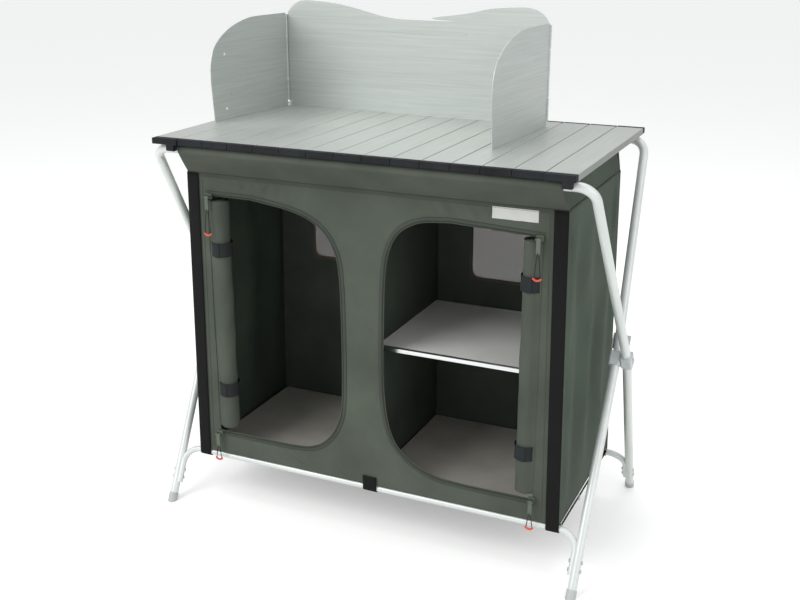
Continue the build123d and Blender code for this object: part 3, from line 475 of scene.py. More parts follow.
def stitches(name, paths, normal, pitch=0.0045, lift=0.0006):
    """Rows of stitches along paths: one block a pitch apart, 0.62 of the pitch long and turned along the
    path, lifted off the cloth along its normal."""
    centres, along = [], []
    for path in paths:
        count = max(3, int(lengths(path)[-1] / pitch))
        row = resample(path, count)
        centres.append(row)
        step = np.gradient(row, axis=0)
        along.append(step / np.linalg.norm(step, axis=1)[:, None])
    centres, along = np.vstack(centres), np.vstack(along)
    normal = np.asarray(normal, float)
    across = np.cross(along, normal) * STITCH_WIDTH
    return boxes(name, centres + normal * lift, along * pitch * 0.62, across, normal * STITCH_HEIGHT, thread)


# %% [markdown]
# ## Sizes from the CAD model
# Soft pieces have to meet the hard ones, so these values repeat the part's own named sizes in metres.
# The cupboard's box is a little wider at its foot than at its top, and hanging cloth is never flat:
# the functions give its width at a height and its soft hollows, which die out at every seam.

# %% Sizes
SIDES = {"left": -1, "right": 1}
BOX_TOP, BOX_BOTTOM = 0.722, 0.111
HALF_TOP, HALF_BOTTOM = 0.392, 0.402
HALF_DEPTH = 0.181
CLOTH = 0.0012
# Height of the valances' lower seam, just over the box's top edge
SEAM_Z = BOX_TOP + 0.0008
# Both doorways: the straight outer side, and points of the curved inner side in millimetres
DOOR_OUTER = 0.3485
LEFT_EDGE = [
    (249, 677), (160, 664), (106, 643), (74, 609), (58, 556), (54, 437),
    (55, 287), (67, 230), (95, 189), (131, 169), (178, 164),
]
RIGHT_EDGE = [
    (172, 677), (113, 670), (73, 648), (52, 613), (42, 560), (38, 451), (39, 326),
    (52, 242), (84, 194), (138, 164.5), (190, 158), (250, 157),
]
# A doorway's side, inner side, lower and upper height
DOORS = {
    "left": (SIDES["left"], LEFT_EDGE, 0.164, 0.677),
    "right": (SIDES["right"], RIGHT_EDGE, 0.157, 0.669),
}
# A window's inner and outer side, lower and upper height and corner radius
WINDOW = (0.082, 0.308, 0.460, 0.650, 0.014)
RAIL_Y, RAIL_Z = 0.232, 0.7775
LOWER_Y, LOWER_Z = 0.1760, 0.103
SLEEVE_LEFT, SLEEVE_RIGHT = -0.3695, 0.3945


def half_width(z):
    """Half the cupboard's width at a height: a straight change from the half width at the top to the half
    width at the bottom."""
    return HALF_TOP + (HALF_BOTTOM - HALF_TOP) * (BOX_TOP - z) / (BOX_TOP - BOX_BOTTOM)


def swell(x, z, phase):
    """Soft hollows and swells of hanging cloth, from -1 to 1: a broad and a narrow pair of slanted sine
    waves multiplied, weighted 65 to 35."""
    a = np.sin(9.1 * x + 3.0 * z + phase) * np.sin(6.3 * z - 2.2 * x + 1.7 * phase)
    b = np.sin(21.0 * x - 9.0 * z + 2.1 * phase) * np.sin(13.0 * z + 5.0 * x + phase)
    return 0.65 * a + 0.35 * b


def edge_mask(x, z):
    """1 in the middle of a panel and 0 along its edges: two straight ramps of 50 mm, multiplied. The side
    one starts 30 mm from the edge and the end one 45 mm from it, so that the sliders run on flat cloth."""
    side = np.clip((half_width(z) - np.abs(x) - 0.03) / 0.05, 0, 1)
    end = np.clip((np.minimum(BOX_TOP - z, z - BOX_BOTTOM) - 0.045) / 0.05, 0, 1)
    return side * end


# Each crease's middle in x and z, its slope in degrees and its half length
CREASES = [
    (-0.277, 0.710, -47, 0.016), (-0.228, 0.707, -49, 0.019), (-0.020, 0.505, -52, 0.045),
    (0.004, 0.452, -54, 0.052), (-0.012, 0.400, -43, 0.035), (0.014, 0.327, -64, 0.042),
    (-0.012, 0.286, -41, 0.036), (-0.064, 0.136, -42, 0.029), (0.016, 0.167, -66, 0.036),
    (0.090, 0.170, -41, 0.033), (0.065, 0.217, -65, 0.030), (-0.172, 0.140, -23, 0.034),
]
CREASE_HEIGHT, CREASE_WIDTH = 0.0018, 0.0038
FRONT_SWELL, REAR_SWELL = 0.0016, 0.003
RIPPLE = 0.0022


def creased(x, z):
    """How far single creases stand out of the front cloth: for each one its height times a bell curve in
    the distance from its line times a bell curve in the distance along it, added up."""
    height = np.zeros(np.shape(x))
    for middle_x, middle_z, slope, half in CREASES:
        turn = np.radians(slope)
        along = (x - middle_x) * np.cos(turn) + (z - middle_z) * np.sin(turn)
        across = (z - middle_z) * np.cos(turn) - (x - middle_x) * np.sin(turn)
        height += np.exp(-((along / half) ** 2) - (across / CREASE_WIDTH) ** 2)
    return CREASE_HEIGHT * height


def front_y(x, z):
    """The depth of the front panel's cloth: its plane, less 1.6 mm of swell inside the edges, less slanted
    ripples of 2.2 mm in a patch over each doorway, less the single creases. The patch is two parabolas,
    16.5 mm up and down from 701.5 mm and 110 mm to each side of 220 mm, multiplied."""
    patch_z = np.clip(1 - ((z - 0.7015) / 0.0165) ** 2, 0, 1)
    patch_x = np.clip(1 - ((np.abs(x) - 0.22) / 0.11) ** 2, 0, 1)
    ripples = RIPPLE * patch_z * patch_x * np.sin(190 * x + 120 * np.sign(x) * z) * np.sin(43 * x + 1.0)
    return -HALF_DEPTH - FRONT_SWELL * swell(x, z, 0.6) * edge_mask(x, z) - ripples - creased(x, z)


def rear_y(x, z):
    """The depth of the rear panel's cloth: its plane plus 3 mm of swell inside the edges."""
    return HALF_DEPTH + REAR_SWELL * swell(x, z, 2.3) * edge_mask(x, z)


def on_front(x, z, lift):
    """Points on the front cloth: x, the cloth's depth less a lift, and z."""
    return np.stack([x, front_y(x, z) - lift, z], -1)


def own(piece, slot_name, body="cupboard"):
    """Ride on a body. The slot name is not used."""
    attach(piece, body)
    return piece


def fold(piece, slot_name):
    """Ride on the cupboard, with a mesh of its own."""
    own(piece, slot_name)
    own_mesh(piece)
    return piece


# %% [markdown]
# ## Front and rear panel
# Each is one cloth, cut out at the doorways or windows. A boolean cut would leave long thin triangles
# that catch the light, so the panel is a grid without the cells that lie in an opening, and the points
# on the rim are drawn to the real outline. The panels hang taut from the rails.

# %% Panels with openings
def doorway_outline(side, edge, bottom, top, grow=0.0):
    """A doorway's closed outline, from its top corner round the inner side to its bottom corner.

    The inner side is a smooth curve through the edge's points in millimetres. Growing moves each point
    outwards along the curve's normal, and the straight outer side stays where it is.
    """
    curve = smooth_curve(np.array(edge) * MM, 10)
    curve = resample(curve, 160)
    tangent = np.gradient(curve, axis=0)
    tangent /= np.linalg.norm(tangent, axis=1)[:, None]
    tangent[0], tangent[-1] = (-1, 0), (1, 0)
    curve = curve + grow * np.stack([tangent[:, 1], -tangent[:, 0]], 1)
    high = np.array([[DOOR_OUTER, top + grow]])
    low = np.array([[DOOR_OUTER, bottom - grow]])
    outline = np.vstack([high, curve, low])
    return outline * (side, 1)


def rounded(width, height, radius, middle, per_corner):
    """A rounded rectangle's outline round a middle: four quarter circles whose centres stand one radius
    inside the corners."""
    turn = np.linspace(0, np.pi / 2, per_corner)
    arcs = []
    for quarter, (right, up) in enumerate(((1, 1), (-1, 1), (-1, -1), (1, -1))):
        angle = turn + quarter * np.pi / 2
        x, z = right * (width / 2 - radius), up * (height / 2 - radius)
        arcs.append(np.stack([x + radius * np.cos(angle), z + radius * np.sin(angle)], 1))
    return np.vstack(arcs) + middle


def window_outline(side, grow=0.0):
    """A window's outline, grown by a distance."""
    inner, outer, low, high, radius = WINDOW
    middle = ((inner + outer) / 2, (low + high) / 2)
    outline = rounded(outer - inner + 2 * grow, high - low + 2 * grow, radius + grow, middle, 9)
    return outline * (side, 1)


def closed(outline, count):
    """An outline that returns to its start, evenly divided."""
    return resample(np.vstack([outline, outline[:1]]), count)


def inside(points, outline):
    """Which points lie inside an outline: those from which a level line to the right crosses it an odd
    number of times."""
    a, b = outline, np.roll(outline, -1, axis=0)
    x, z = points[:, :1], points[:, 1:]
    spans = (a[:, 1] > z) != (b[:, 1] > z)
    with np.errstate(divide="ignore", invalid="ignore"):
        cross = (b[:, 0] - a[:, 0]) * (z - a[:, 1]) / (b[:, 1] - a[:, 1]) + a[:, 0]
    return (np.sum(spans & (x < cross), axis=1) % 2) == 1


def holed_panel(name, outlines, depth, material, columns, rows):
    """An upright panel with openings.

    The points are a grid of share of half width and height. Cells whose middle lies in an opening are left
    out, each point on the rim moves to the nearest point of the outline, and the depth is a function of
    both coordinates.
    """
    u, z = np.meshgrid(np.linspace(-1, 1, columns), np.linspace(BOX_BOTTOM, BOX_TOP, rows), indexing="xy")
    flat = np.stack([u * half_width(z), z], -1).reshape(-1, 2)
    faces = grid_faces(rows, columns)
    middles = flat[faces].mean(axis=1)
    dropped = np.zeros(len(faces), bool)
    for outline in outlines:
        dropped |= inside(middles, outline)
    rim = np.intersect1d(faces[dropped], faces[~dropped])
    fine = np.vstack([closed(outline, 900) for outline in outlines])
    gaps = np.linalg.norm(flat[rim][:, None] - fine[None], axis=2)
    flat[rim] = fine[np.argmin(gaps, axis=1)]
    used, index = np.unique(faces[~dropped], return_inverse=True)
    flat = flat[used]
    points = np.stack([flat[:, 0], depth(flat[:, 0], flat[:, 1]), flat[:, 1]], 1)
    piece = mesh_object(name, points, index.reshape(-1, 4).tolist(), material, flat)
    thicken(piece, CLOTH)
    return piece


def area_of(piece):
    """The area of a surface before it gets its thickness: the sum of its faces' areas."""
    areas = np.empty(len(piece.data.polygons), np.float32)
    piece.data.polygons.foreach_get("area", areas)
    return float(areas.sum())


doorways = [doorway_outline(*door) for door in DOORS.values()]
front = holed_panel("front_cloth", doorways, front_y, canvas, columns=300, rows=228)
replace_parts(own(front, "box_fabric"), "front_panel")
area_of(front)

windows = [window_outline(side) for side in SIDES.values()]
rear = holed_panel("rear_cloth", windows, rear_y, canvas, columns=200, rows=152)
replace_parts(fold(rear, "box_fabric"), "rear_panel")
area_of(rear)
print("front cloth", round(area_of(front), 3), "m2, rear cloth", round(area_of(rear), 3), "m2")


# %% [markdown]
# ## Ends, divider and floor
# The ends hang loose between two corners and fall into soft upright folds, deepest half way down. The
# divider and the floor are tighter.

# %% Ends, divider and floor
EDGE_Y = HALF_DEPTH - CLOTH / 3


def end_cloth(name, side):
    """One end with soft upright folds, most marked half way down.

    The side distance is the half width plus 4.2 mm of two waves added, one 120 mm long and a weaker one
    that wanders with the height. They fade over 120 mm to the top and bottom seams and over 18 mm to the
    upright ones. A small bag near the rear top corner comes on top.
    """
    y, z = np.meshgrid(np.linspace(-EDGE_Y, EDGE_Y, 121), np.linspace(BOX_BOTTOM, BOX_TOP, 90), indexing="xy")
    wave = np.sin(np.pi * (y + 0.180) / 0.060)
    drift = 0.35 * np.sin(2.1 * np.pi * (y + 0.05 * np.sin(7 * z)) / 0.11 + 1.3)
    hang = np.clip(np.minimum(BOX_TOP - z, z - BOX_BOTTOM) / 0.12, 0, 1)
    sewn = np.clip((EDGE_Y - np.abs(y)) / 0.018, 0, 1)
    bag = 0.0045 * np.exp(-(((y - 0.155) / 0.013) ** 2) - ((z - 0.65) / 0.05) ** 2)
    x = half_width(z) - CLOTH / 2 + (0.0042 * (wave + drift) * hang + bag) * sewn
    points = np.stack([side * x, y, z], -1)
    return cloth_grid(f"{name}_end_cloth", points, np.stack([y, z], -1), CLOTH, shaded_end_canvas)


for name, side in SIDES.items():
    end = end_cloth(name, side)
    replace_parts(fold(end, "box_fabric"), f"{name}_end_panel")

depths, heights = np.linspace(-EDGE_Y, EDGE_Y, 61), np.linspace(BOX_BOTTOM + 0.0014, BOX_TOP - 0.0002, 90)
y, z = np.meshgrid(depths, heights, indexing="xy")
sway = 0.0022 * swell(2.2 * y, z, 4.0) * np.clip((0.18 - np.abs(y)) / 0.04, 0, 1)
divider = cloth_grid("divider_cloth", np.stack([sway, y, z], -1), np.stack([y, z], -1), CLOTH, shaded_lining)
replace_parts(fold(divider, "box_fabric"), "divider_panel")

x, y = np.meshgrid(np.linspace(-0.4010, 0.4010, 120), np.linspace(-EDGE_Y, EDGE_Y, 60), indexing="xy")
floor_z = np.full_like(x, BOX_BOTTOM + CLOTH / 2)
bottom = cloth_grid("floor_cloth", np.stack([x, y, floor_z], -1), np.stack([x, y], -1), CLOTH, shaded_lining)
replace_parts(fold(bottom, "box_fabric"), "floor_sheet")
print("ends", end.dimensions[:], "floor", bottom.dimensions[:])


# %% [markdown]
# ## Valances along the rails
# A valance carries the cupboard: a sleeve round the rail, and a sheet that slopes from the sleeve down
# to the box. The section is a line and a circle that touch, so it is worked out once and carried along
# the rail. The rear one is the front one turned round. Its sleeve goes with the rear frame, while its
# sheet rides on the cupboard.

# %% Front and rear valances
SLEEVE_RADIUS = 0.00955
# Height of the gathers, and how far the rear sheet laps down over the rear panel
PUCKER, LAP = 0.0009, 0.02


def valance_profile(sleeve):
    """The section of a valance at the front, as depth and height: the sleeve, or else the sheet.

    The sleeve is a circle round the rail. The sheet is the straight line from the box's edge that touches
    this circle on its outer side. Seen from the rail, the point where it touches is turned away from that
    edge by the angle whose cosine is the radius over the distance between edge and rail.
    """
    reach = np.array([RAIL_Y - HALF_DEPTH, SEAM_Z - RAIL_Z])
    turn = math.atan2(reach[1], -reach[0]) + math.acos(SLEEVE_RADIUS / np.linalg.norm(reach))
    if sleeve:
        angle = np.pi - turn - np.linspace(0, 2 * np.pi, 49)
        return np.stack([-RAIL_Y + SLEEVE_RADIUS * np.cos(angle), RAIL_Z + SLEEVE_RADIUS * np.sin(angle)], 1)
    foot = np.array([-HALF_DEPTH, SEAM_Z])
    head = np.array([-RAIL_Y - SLEEVE_RADIUS * math.cos(turn), RAIL_Z + SLEEVE_RADIUS * math.sin(turn)])
    return foot + (head - foot) * np.linspace(0, 1, 24)[:, None]


def valance_edges(z):
    """The left and the right edge of a valance at a height: straight lines from the box's corners to the
    hooks."""
    heights = [BOX_TOP, RAIL_Z - 0.006]
    return np.interp(z, heights, [-HALF_TOP, SLEEVE_LEFT]), np.interp(z, heights, [HALF_TOP, SLEEVE_RIGHT])


def valance_piece(name, profile, side, pucker=0.0):
    """A strip along the rail from its section. The rear one is the front one turned round.

    Each section point runs from its left to its right edge, and all points of a sleeve, which has no
    pucker, from hook to hook. The gathers are two waves along the rail times half a sine wave over the
    section, so they vanish at both seams.
    """
    share = np.linspace(0, 1, 161)[None, :]
    depth, height = profile[:, :1], profile[:, 1:]
    along = lengths(profile)[:, None]
    left, right = valance_edges(height if pucker else np.full_like(height, RAIL_Z))
    x = left + (right - left) * share
    gather = pucker * np.sin(np.pi * along / along.max()) * (np.sin(47 * x + 1.1) + 0.6 * np.sin(83 * x))
    points = np.stack([-side * x, side * -(depth - gather) + 0 * x, height + 0.4 * gather + 0 * x], -1)
    return cloth_grid(name, points, np.stack([x, along + 0 * x], -1), CLOTH, canvas)


front_sleeve = valance_piece("front_sleeve_cloth", valance_profile(True), -1)
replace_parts(own(front_sleeve, "box_fabric"), "front_valance")
front_sheet = valance_piece("front_valance_cloth", valance_profile(False), -1, PUCKER)
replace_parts(own(front_sheet, "box_fabric"), "front_valance")

rear_sleeve = valance_piece("rear_sleeve_cloth", valance_profile(True), 1)
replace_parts(own(rear_sleeve, "box_fabric", "rear_frame"), "rear_valance")
rear_profile = np.vstack([[-HALF_DEPTH - 0.0018, BOX_TOP - LAP], valance_profile(False)])
rear_sheet = valance_piece("rear_valance_cloth", resample(rear_profile, 30), 1, PUCKER)
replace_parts(own(rear_sheet, "box_fabric"), "rear_valance")
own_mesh(rear_sheet)
print("sleeve section", np.round(np.ptp(valance_profile(True), axis=0), 4), "m deep and high")


# %% [markdown]
# ## Valances over the ends
# A narrow cloth closes the gap between the box and the top at each end. It leans inwards and sags a
# little in its middle.

# %% End valances
def end_valance(name, side):
    """The sloping cloth over one end, wider at its top than at its foot.

    It rises 45 mm while it leans 17 mm inwards, and sags by 2.5 mm times half a sine wave over its height
    and a parabola over its width.
    """
    rise = np.linspace(0, 1, 16)[:, None]
    v = np.linspace(-1, 1, 81)[None, :]
    y = v * (0.180 + 0.018 * rise)
    sag = 0.0025 * np.sin(np.pi * rise) * (1 - v**2)
    x = 0.3908 - 0.0174 * rise - sag + 0 * v
    z = SEAM_Z + 0.0452 * rise + 0 * v
    points = np.stack([side * x, y, z], -1)
    uv = np.stack([y, 0.0485 * rise + 0 * v], -1)
    return cloth_grid(f"{name}_end_valance_cloth", points, uv, CLOTH, shaded_end_canvas)


for name, side in SIDES.items():
    piece = end_valance(name, side)
    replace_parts(fold(piece, "box_fabric"), "end_valances")

# %% [markdown]
# ## Nets in the rear windows
# Insect net is fine knotted yarn. A see-through material would be quick, but the mesh goes out as
# geometry, so the yarns are real bars that cross. They stand 2 mm apart, a little coarser than real net,
# so that they still show. A bound edge runs round each window.

# %% Nets
NET_PITCH, NET_YARN, NET_THICKNESS = 0.0020, 0.0012, 0.0005
# How far the yarns run on behind the cloth at each side of a window
NET_MARGIN = 0.006
net_y = HALF_DEPTH - CLOTH / 2 - 0.0006
inner, outer, low, high, _ = WINDOW
middle_z = (low + high) / 2
centres, widths, heights = [], [], []
for side in SIDES.values():
    upright = np.arange(inner - 0.005, outer + 0.005, NET_PITCH)
    level = np.arange(low - 0.005, high + 0.005, NET_PITCH)
    middle_x = side * (inner + outer) / 2
    centres.append(np.stack([side * upright, 0 * upright + net_y, 0 * upright + middle_z], 1))
    widths.append(np.tile((NET_YARN, 0, 0), (len(upright), 1)))
    heights.append(np.tile((0, 0, high - low + 2 * NET_MARGIN), (len(upright), 1)))
    centres.append(np.stack([0 * level + middle_x, 0 * level + net_y - 0.0004, level], 1))
    widths.append(np.tile((outer - inner + 2 * NET_MARGIN, 0, 0), (len(level), 1)))
    heights.append(np.tile((0, 0, NET_YARN), (len(level), 1)))
centres, widths, heights = np.vstack(centres), np.vstack(widths), np.vstack(heights)
nets = boxes("window_net_yarns", centres, widths, (0, NET_THICKNESS, 0), heights, net_yarn)
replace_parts(fold(nets, "net_fabric"), "window_nets")


def band(name, inner_line, outer_line, depth, thickness, material, close=True):
    """A band between two lines of the same number of points: each point is a share of the way from the
    inner to the outer line, at the depth there less 0.4 mm of half a sine wave over the share."""
    share = np.linspace(0, 1, 4)[:, None, None]
    flat = inner_line[None] * (1 - share) + outer_line[None] * share
    bulge = 0.0004 * np.sin(np.pi * share[:, :, 0])
    points = np.stack([flat[..., 0], depth(flat[..., 0], flat[..., 1]) - bulge, flat[..., 1]], -1)
    run = np.broadcast_to(lengths(outer_line), flat.shape[:2])
    across = np.broadcast_to(share[:, :, 0] * np.linalg.norm(outer_line[0] - inner_line[0]), flat.shape[:2])
    return cloth_grid(name, points, np.stack([run, across], -1), thickness, material, close)


for name, side in SIDES.items():
    ring = [closed(window_outline(side, grow), 121)[:-1] for grow in (-0.001, 0.010)]
    # The binding takes the end canvas, darkened as painted shade
    binding = band(f"window_binding_{name}", *ring, lambda x, z: rear_y(x, z) + 0.0012, 0.0008, shaded_end_canvas)
    fold(binding, "box_fabric")
print(len(nets.data.polygons) // 6, "net yarns")


# %% [markdown]
# ## Zips
# A zip is a woven tape with a nylon coil along its edge. Each runs round its doorway from the top slider
# to the bottom one. The tape is a band between two lines that keep their distance from the doorway, and
# the coil is a row of small blocks, because a true coil would need too many faces.

# %% Zip tape and coil
# Distances from the doorway's edge of the tape's two edges, of the coil and of the two seams
TAPE_EDGES, COIL_LINE, SEAM_LINES = (0.0015, 0.0105), 0.0032, (0.0058, 0.0094)
TAPE_LIFT, SEAM_LIFT, COIL_LIFT = 0.0011, 0.0013, 0.0019
TOOTH_PITCH, TOOTH_LENGTH, TOOTH_WIDTH, TOOTH_HEIGHT = 0.0016, 0.00115, 0.0020, 0.0010


def zip_line(side, edge, bottom, top, grow):
    """The line of a zip between its two sliders: the doorway's outline grown by a distance, open at its
    outer side and run on to the sliders."""
    outline = doorway_outline(1, edge, bottom, top, grow)[1:-1]
    start, end = np.array([[0.350, top + grow]]), np.array([[0.352, outline[-1, 1]]])
    return resample(np.vstack([start, outline, end]), 420) * (side, 1)


for name, door in DOORS.items():
    edges = [zip_line(*door, grow) for grow in TAPE_EDGES]
    tape = band(
        f"zip_tape_{name}", *edges, lambda x, z: front_y(x, z) - TAPE_LIFT, 0.0006, zip_tape, close=False
    )
    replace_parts(own(tape, "zip_tape"), "door_zips")
    line = zip_line(*door, COIL_LINE)
    fine = resample(line, int(lengths(line)[-1] / TOOTH_PITCH))
    path = on_front(*fine.T, COIL_LIFT)
    step = np.gradient(path, axis=0)
    step /= np.linalg.norm(step, axis=1)[:, None]
    across = np.cross(step, (0.0, 1.0, 0.0)) * TOOTH_WIDTH
    coil = boxes(f"zip_coil_{name}", path, step * TOOTH_LENGTH, across, (0, TOOTH_HEIGHT, 0), coil_nylon)
    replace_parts(own(coil, "zip_tape"), "door_zips")
    rows = [on_front(*zip_line(*door, grow).T, SEAM_LIFT) for grow in SEAM_LINES]
    own(stitches(f"zip_stitches_{name}", rows, (0, -1, 0), 0.004, 0.0002), "zip_tape")
    print(name, "zip", round(float(lengths(line)[-1]), 3), "m with", len(fine), "teeth")


# %% [markdown]
# ## Rolled-up doors
# A door rolled up is one cloth: it leaves the panel's edge, wraps round and winds inwards. A cylinder
# would show no layers at its end, so the section is a spiral. It is drawn in at its two ties, which are
# broad tapes with their loose end lapped over.

# %% Rolls and their ties
ROLL_X, ROLL_Y, ROLL_RADIUS, ROLL_TURNS = 0.3275, -0.170, 0.0187, 3.4
# Where the cloth leaves the panel's edge, as x and y
ROLL_ROOT = (0.352, -0.1797)
ROLL_ENDS = {"left": (0.175, 0.668), "right": (0.168, 0.663)}
TIES = {"left": (0.262, 0.568), "right": (0.251, 0.583)}
TIE_RADIUS, TIE_WIDTH = 0.0206, 0.0286


def roll_cloth(name, side, ties, phase):
    """The rolled door, a spiral in section, and the short run of cloth from the doorway's edge to it.

    The radius falls evenly with the angle over 3.4 turns. It is 3 percent smaller at the ties, half a
    millimetre uneven between them, and a little wider at the top end.
    """
    low, high = ROLL_ENDS[name]
    z = np.linspace(low, high, 130)[:, None]
    t = np.linspace(0, 1, 190)[None, :]
    angle = math.radians(65) + t * ROLL_TURNS * 2 * np.pi
    radius = ROLL_RADIUS - 0.0138 * t
    waist = sum(np.exp(-(((z - tie) / 0.026) ** 4)) for tie in ties)
    wobble = 0.0005 * np.sin(31 * z + 2 * angle + phase) + 0.0004 * np.sin(67 * z - 3 * angle)
    end_flare = 0.0006 * np.exp(-((high - z) / 0.01))
    radius = radius * (1 - 0.03 * waist) + (wobble - 0.0006) * (1 - np.clip(waist, 0, 1)) + end_flare
    x = ROLL_X + radius * np.cos(angle)
    y = ROLL_Y - radius * np.sin(angle)
    lead = np.linspace(0, 1, 12, endpoint=False)[None, :]
    lead_x = ROLL_ROOT[0] + (x[:, :1] - ROLL_ROOT[0]) * lead
    lead_y = ROLL_ROOT[1] + (y[:, :1] - ROLL_ROOT[1]) * lead**1.7
    x, y = np.hstack([lead_x, x]), np.hstack([lead_y, y])
    z = np.broadcast_to(z, x.shape)
    points = np.stack([side * x, y, z], -1)
    flat = lengths(points[60])
    uv = np.stack([np.broadcast_to(flat, x.shape), z], -1)
    piece = cloth_grid(f"door_cloth_{name}", points, uv, 0.0011, canvas)
    return piece


def tie_band(name, side, heights):
    """Two ties round a roll: each an arc of 395 degrees, whose last tenth is lifted by 1.1 mm so that it
    laps over the start, with its edges curled out by half a millimetre."""
    across, along = 9, 96
    t = np.linspace(0, 1, along)[None, :]
    v = np.linspace(-1, 1, across)[:, None]
    angle = math.radians(250) + t * math.radians(395)
    radius = TIE_RADIUS + 0.0011 * np.clip((t - 0.9) / 0.05, 0, 1) + 0.0005 * np.abs(v) ** 3
    x = side * ROLL_X + radius * np.cos(angle)
    y = ROLL_Y + radius * np.sin(angle)
    points, uvs, faces = [], [], []
    for height in heights:
        z = height + TIE_WIDTH / 2 * v + 0 * t
        faces.append(grid_faces(across, along) + len(faces) * across * along)
        points.append(np.stack([x, y, z], -1).reshape(-1, 3))
        uvs.append(np.stack([0.02 * angle + 0 * v, z], -1).reshape(-1, 2))
    faces = np.vstack(faces).tolist()
    piece = mesh_object(f"door_ties_{name}", np.vstack(points), faces, tie_tape, np.vstack(uvs))
    thicken(piece, 0.001)
    return piece


for name, side in SIDES.items():
    roll = roll_cloth(name, side, TIES[name], 0.4 + side)
    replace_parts(own(roll, "box_fabric"), f"door_roll_{name}")
    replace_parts(own(tie_band(name, side, TIES[name]), "webbing"), "door_ties")
    print(name, "door rolled up", np.round(roll.dimensions, 3))


# %% [markdown]
# ## Zip pulls
# A flat lacquered tab hangs on the slider's pin, a thin cord loops through its eye, and a soft bow-shaped
# tip holds both ends of the cord. The cord's route is the one of the CAD model, so the loop is as long as
# there. Tab, cord and tip ride together, because they swing as one.

# %% Zip pulls
PULL_Y = -0.195
# The x and the height of a slider's pin, and how far its cord hangs below the tab's eye
PULLS = {
    "left_top": (-0.343, 0.677, 0.0505),
    "right_top": (0.343, 0.669, 0.047),
    "left_bottom": (-0.348, 0.157, 0.030),
    "right_bottom": (0.348, 0.157, 0.030),
}


def upright_plate(name, outline, thickness, material, bevel):
    """A flat plate in the pulls' upright plane: an outline at plus and minus half the thickness, joined by
    sides, with a bevel along its edges."""
    count = len(outline)
    back = np.stack([outline[:, 0], np.full(count, PULL_Y + thickness / 2), outline[:, 1]], 1)
    points = np.vstack([back - (0, thickness, 0), back])
    i = np.arange(count)
    sides = np.stack([i, (i + 1) % count, (i + 1) % count + count, i + count], 1).tolist()
    faces = [*sides, i[::-1].tolist(), (i + count).tolist()]
    made = mesh_object(name, points, faces, material, smooth=False)
    rounding = made.modifiers.new("rounding", "BEVEL")
    rounding.width = bevel
    rounding.segments = 3
    rounding.limit_method = "ANGLE"
    rounding.angle_limit = math.radians(60)
    return made


# The tab: width, height, corner radius and thickness, and its eye's and its middle's height over the pin
TAB_SIZE, TAB_EYE, TAB_MIDDLE = (0.008, 0.030, 0.0026, 0.0016), -0.0236, -0.012
CORD = 0.0018
# The tip is a bow, an arc 16 mm wide and 5 mm deep, thinned to round ends
BOW_RADIUS = 0.0089
turn = np.linspace(-1, 1, 41)
bow_angle = 1.117 * turn
bow_line = np.stack([BOW_RADIUS * np.sin(bow_angle), 0 * turn, 0.0049 - BOW_RADIUS * np.cos(bow_angle)], 1)
bow_radius = 0.0021 * np.sqrt(np.clip(1.004 - turn**14, 0, 1))
for place, (x, pin_z, loop_length) in PULLS.items():
    eye_z = pin_z + TAB_EYE
    tip_top = eye_z - loop_length
    *size, thickness = TAB_SIZE
    outline = rounded(*size, (x, pin_z + TAB_MIDDLE), 8)
    tab = upright_plate(f"pull_tab_{place}", outline, thickness, slider_lacquer, 0.0005)
    tip = tube(f"pull_tip_{place}", bow_line + (x, PULL_Y, tip_top), bow_radius, tip_rubber, 16, (0, 1, 0))
    for piece in (tab, tip):
        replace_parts(own(piece, "pull_plastic", f"pull_{place}"), f"zip_pull_{place}")
    curve = bpy.data.curves.new(f"pull_cord_{place}", "CURVE")
    curve.dimensions = "3D"
    curve.bevel_depth = CORD / 2
    curve.bevel_resolution = 3
    curve.resolution_u = 16
    route = (
        (x - 0.006, PULL_Y, tip_top),
        (x - 0.001, PULL_Y - 0.0023, eye_z),
        (x + 0.001, PULL_Y + 0.0023, eye_z),
        (x + 0.006, PULL_Y, tip_top),
    )
    line = curve.splines.new("NURBS")
    line.points.add(len(route) - 1)
    for point, place_on_route in zip(line.points, route):
        point.co = (*place_on_route, 1)
    line.order_u = 3
    line.use_endpoint_u = True
    curve.materials.append(cord_cover)
    cord = new_object(f"pull_cord_{place}", curve)
    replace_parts(own(cord, "cord_rubber", f"pull_{place}"), f"zip_pull_{place}")


# %% [markdown]
# ## Webbing
# Black straps run down the corners, pass under the lower rail and come up to the floor, so that they
# carry the load. The section is straight, half round and straight again, and the strap is that line
# carried over its width, a little domed, as woven tape is. A narrow strap runs along each end's foot.

# %% Straps
LOOP_RADIUS = 0.0076
# Inner and outer edge of a corner strap, left and right edge of the middle one, and its upper end
CORNER_STRAP, MIDDLE_STRAP, MIDDLE_STRAP_TOP = (0.377, 0.403), (-0.009, 0.021), 0.130


def loop_path(top):
    """The section of a strap at the front rail, as depth and height: straight down, half a circle of
    7.6 mm radius under the rail, and straight up to the floor."""
    angle = np.linspace(0, np.pi, 25)
    under = np.stack([-LOWER_Y - LOOP_RADIUS * np.cos(angle), LOWER_Z - LOOP_RADIUS * np.sin(angle)], 1)
    down = np.stack([np.full(60, -LOWER_Y - LOOP_RADIUS), np.linspace(top, LOWER_Z, 60, endpoint=False)], 1)
    up = np.stack([np.full(4, -LOWER_Y + LOOP_RADIUS), np.linspace(LOWER_Z, BOX_BOTTOM - 0.0005, 5)[1:]], 1)
    return np.vstack([down, under, up])


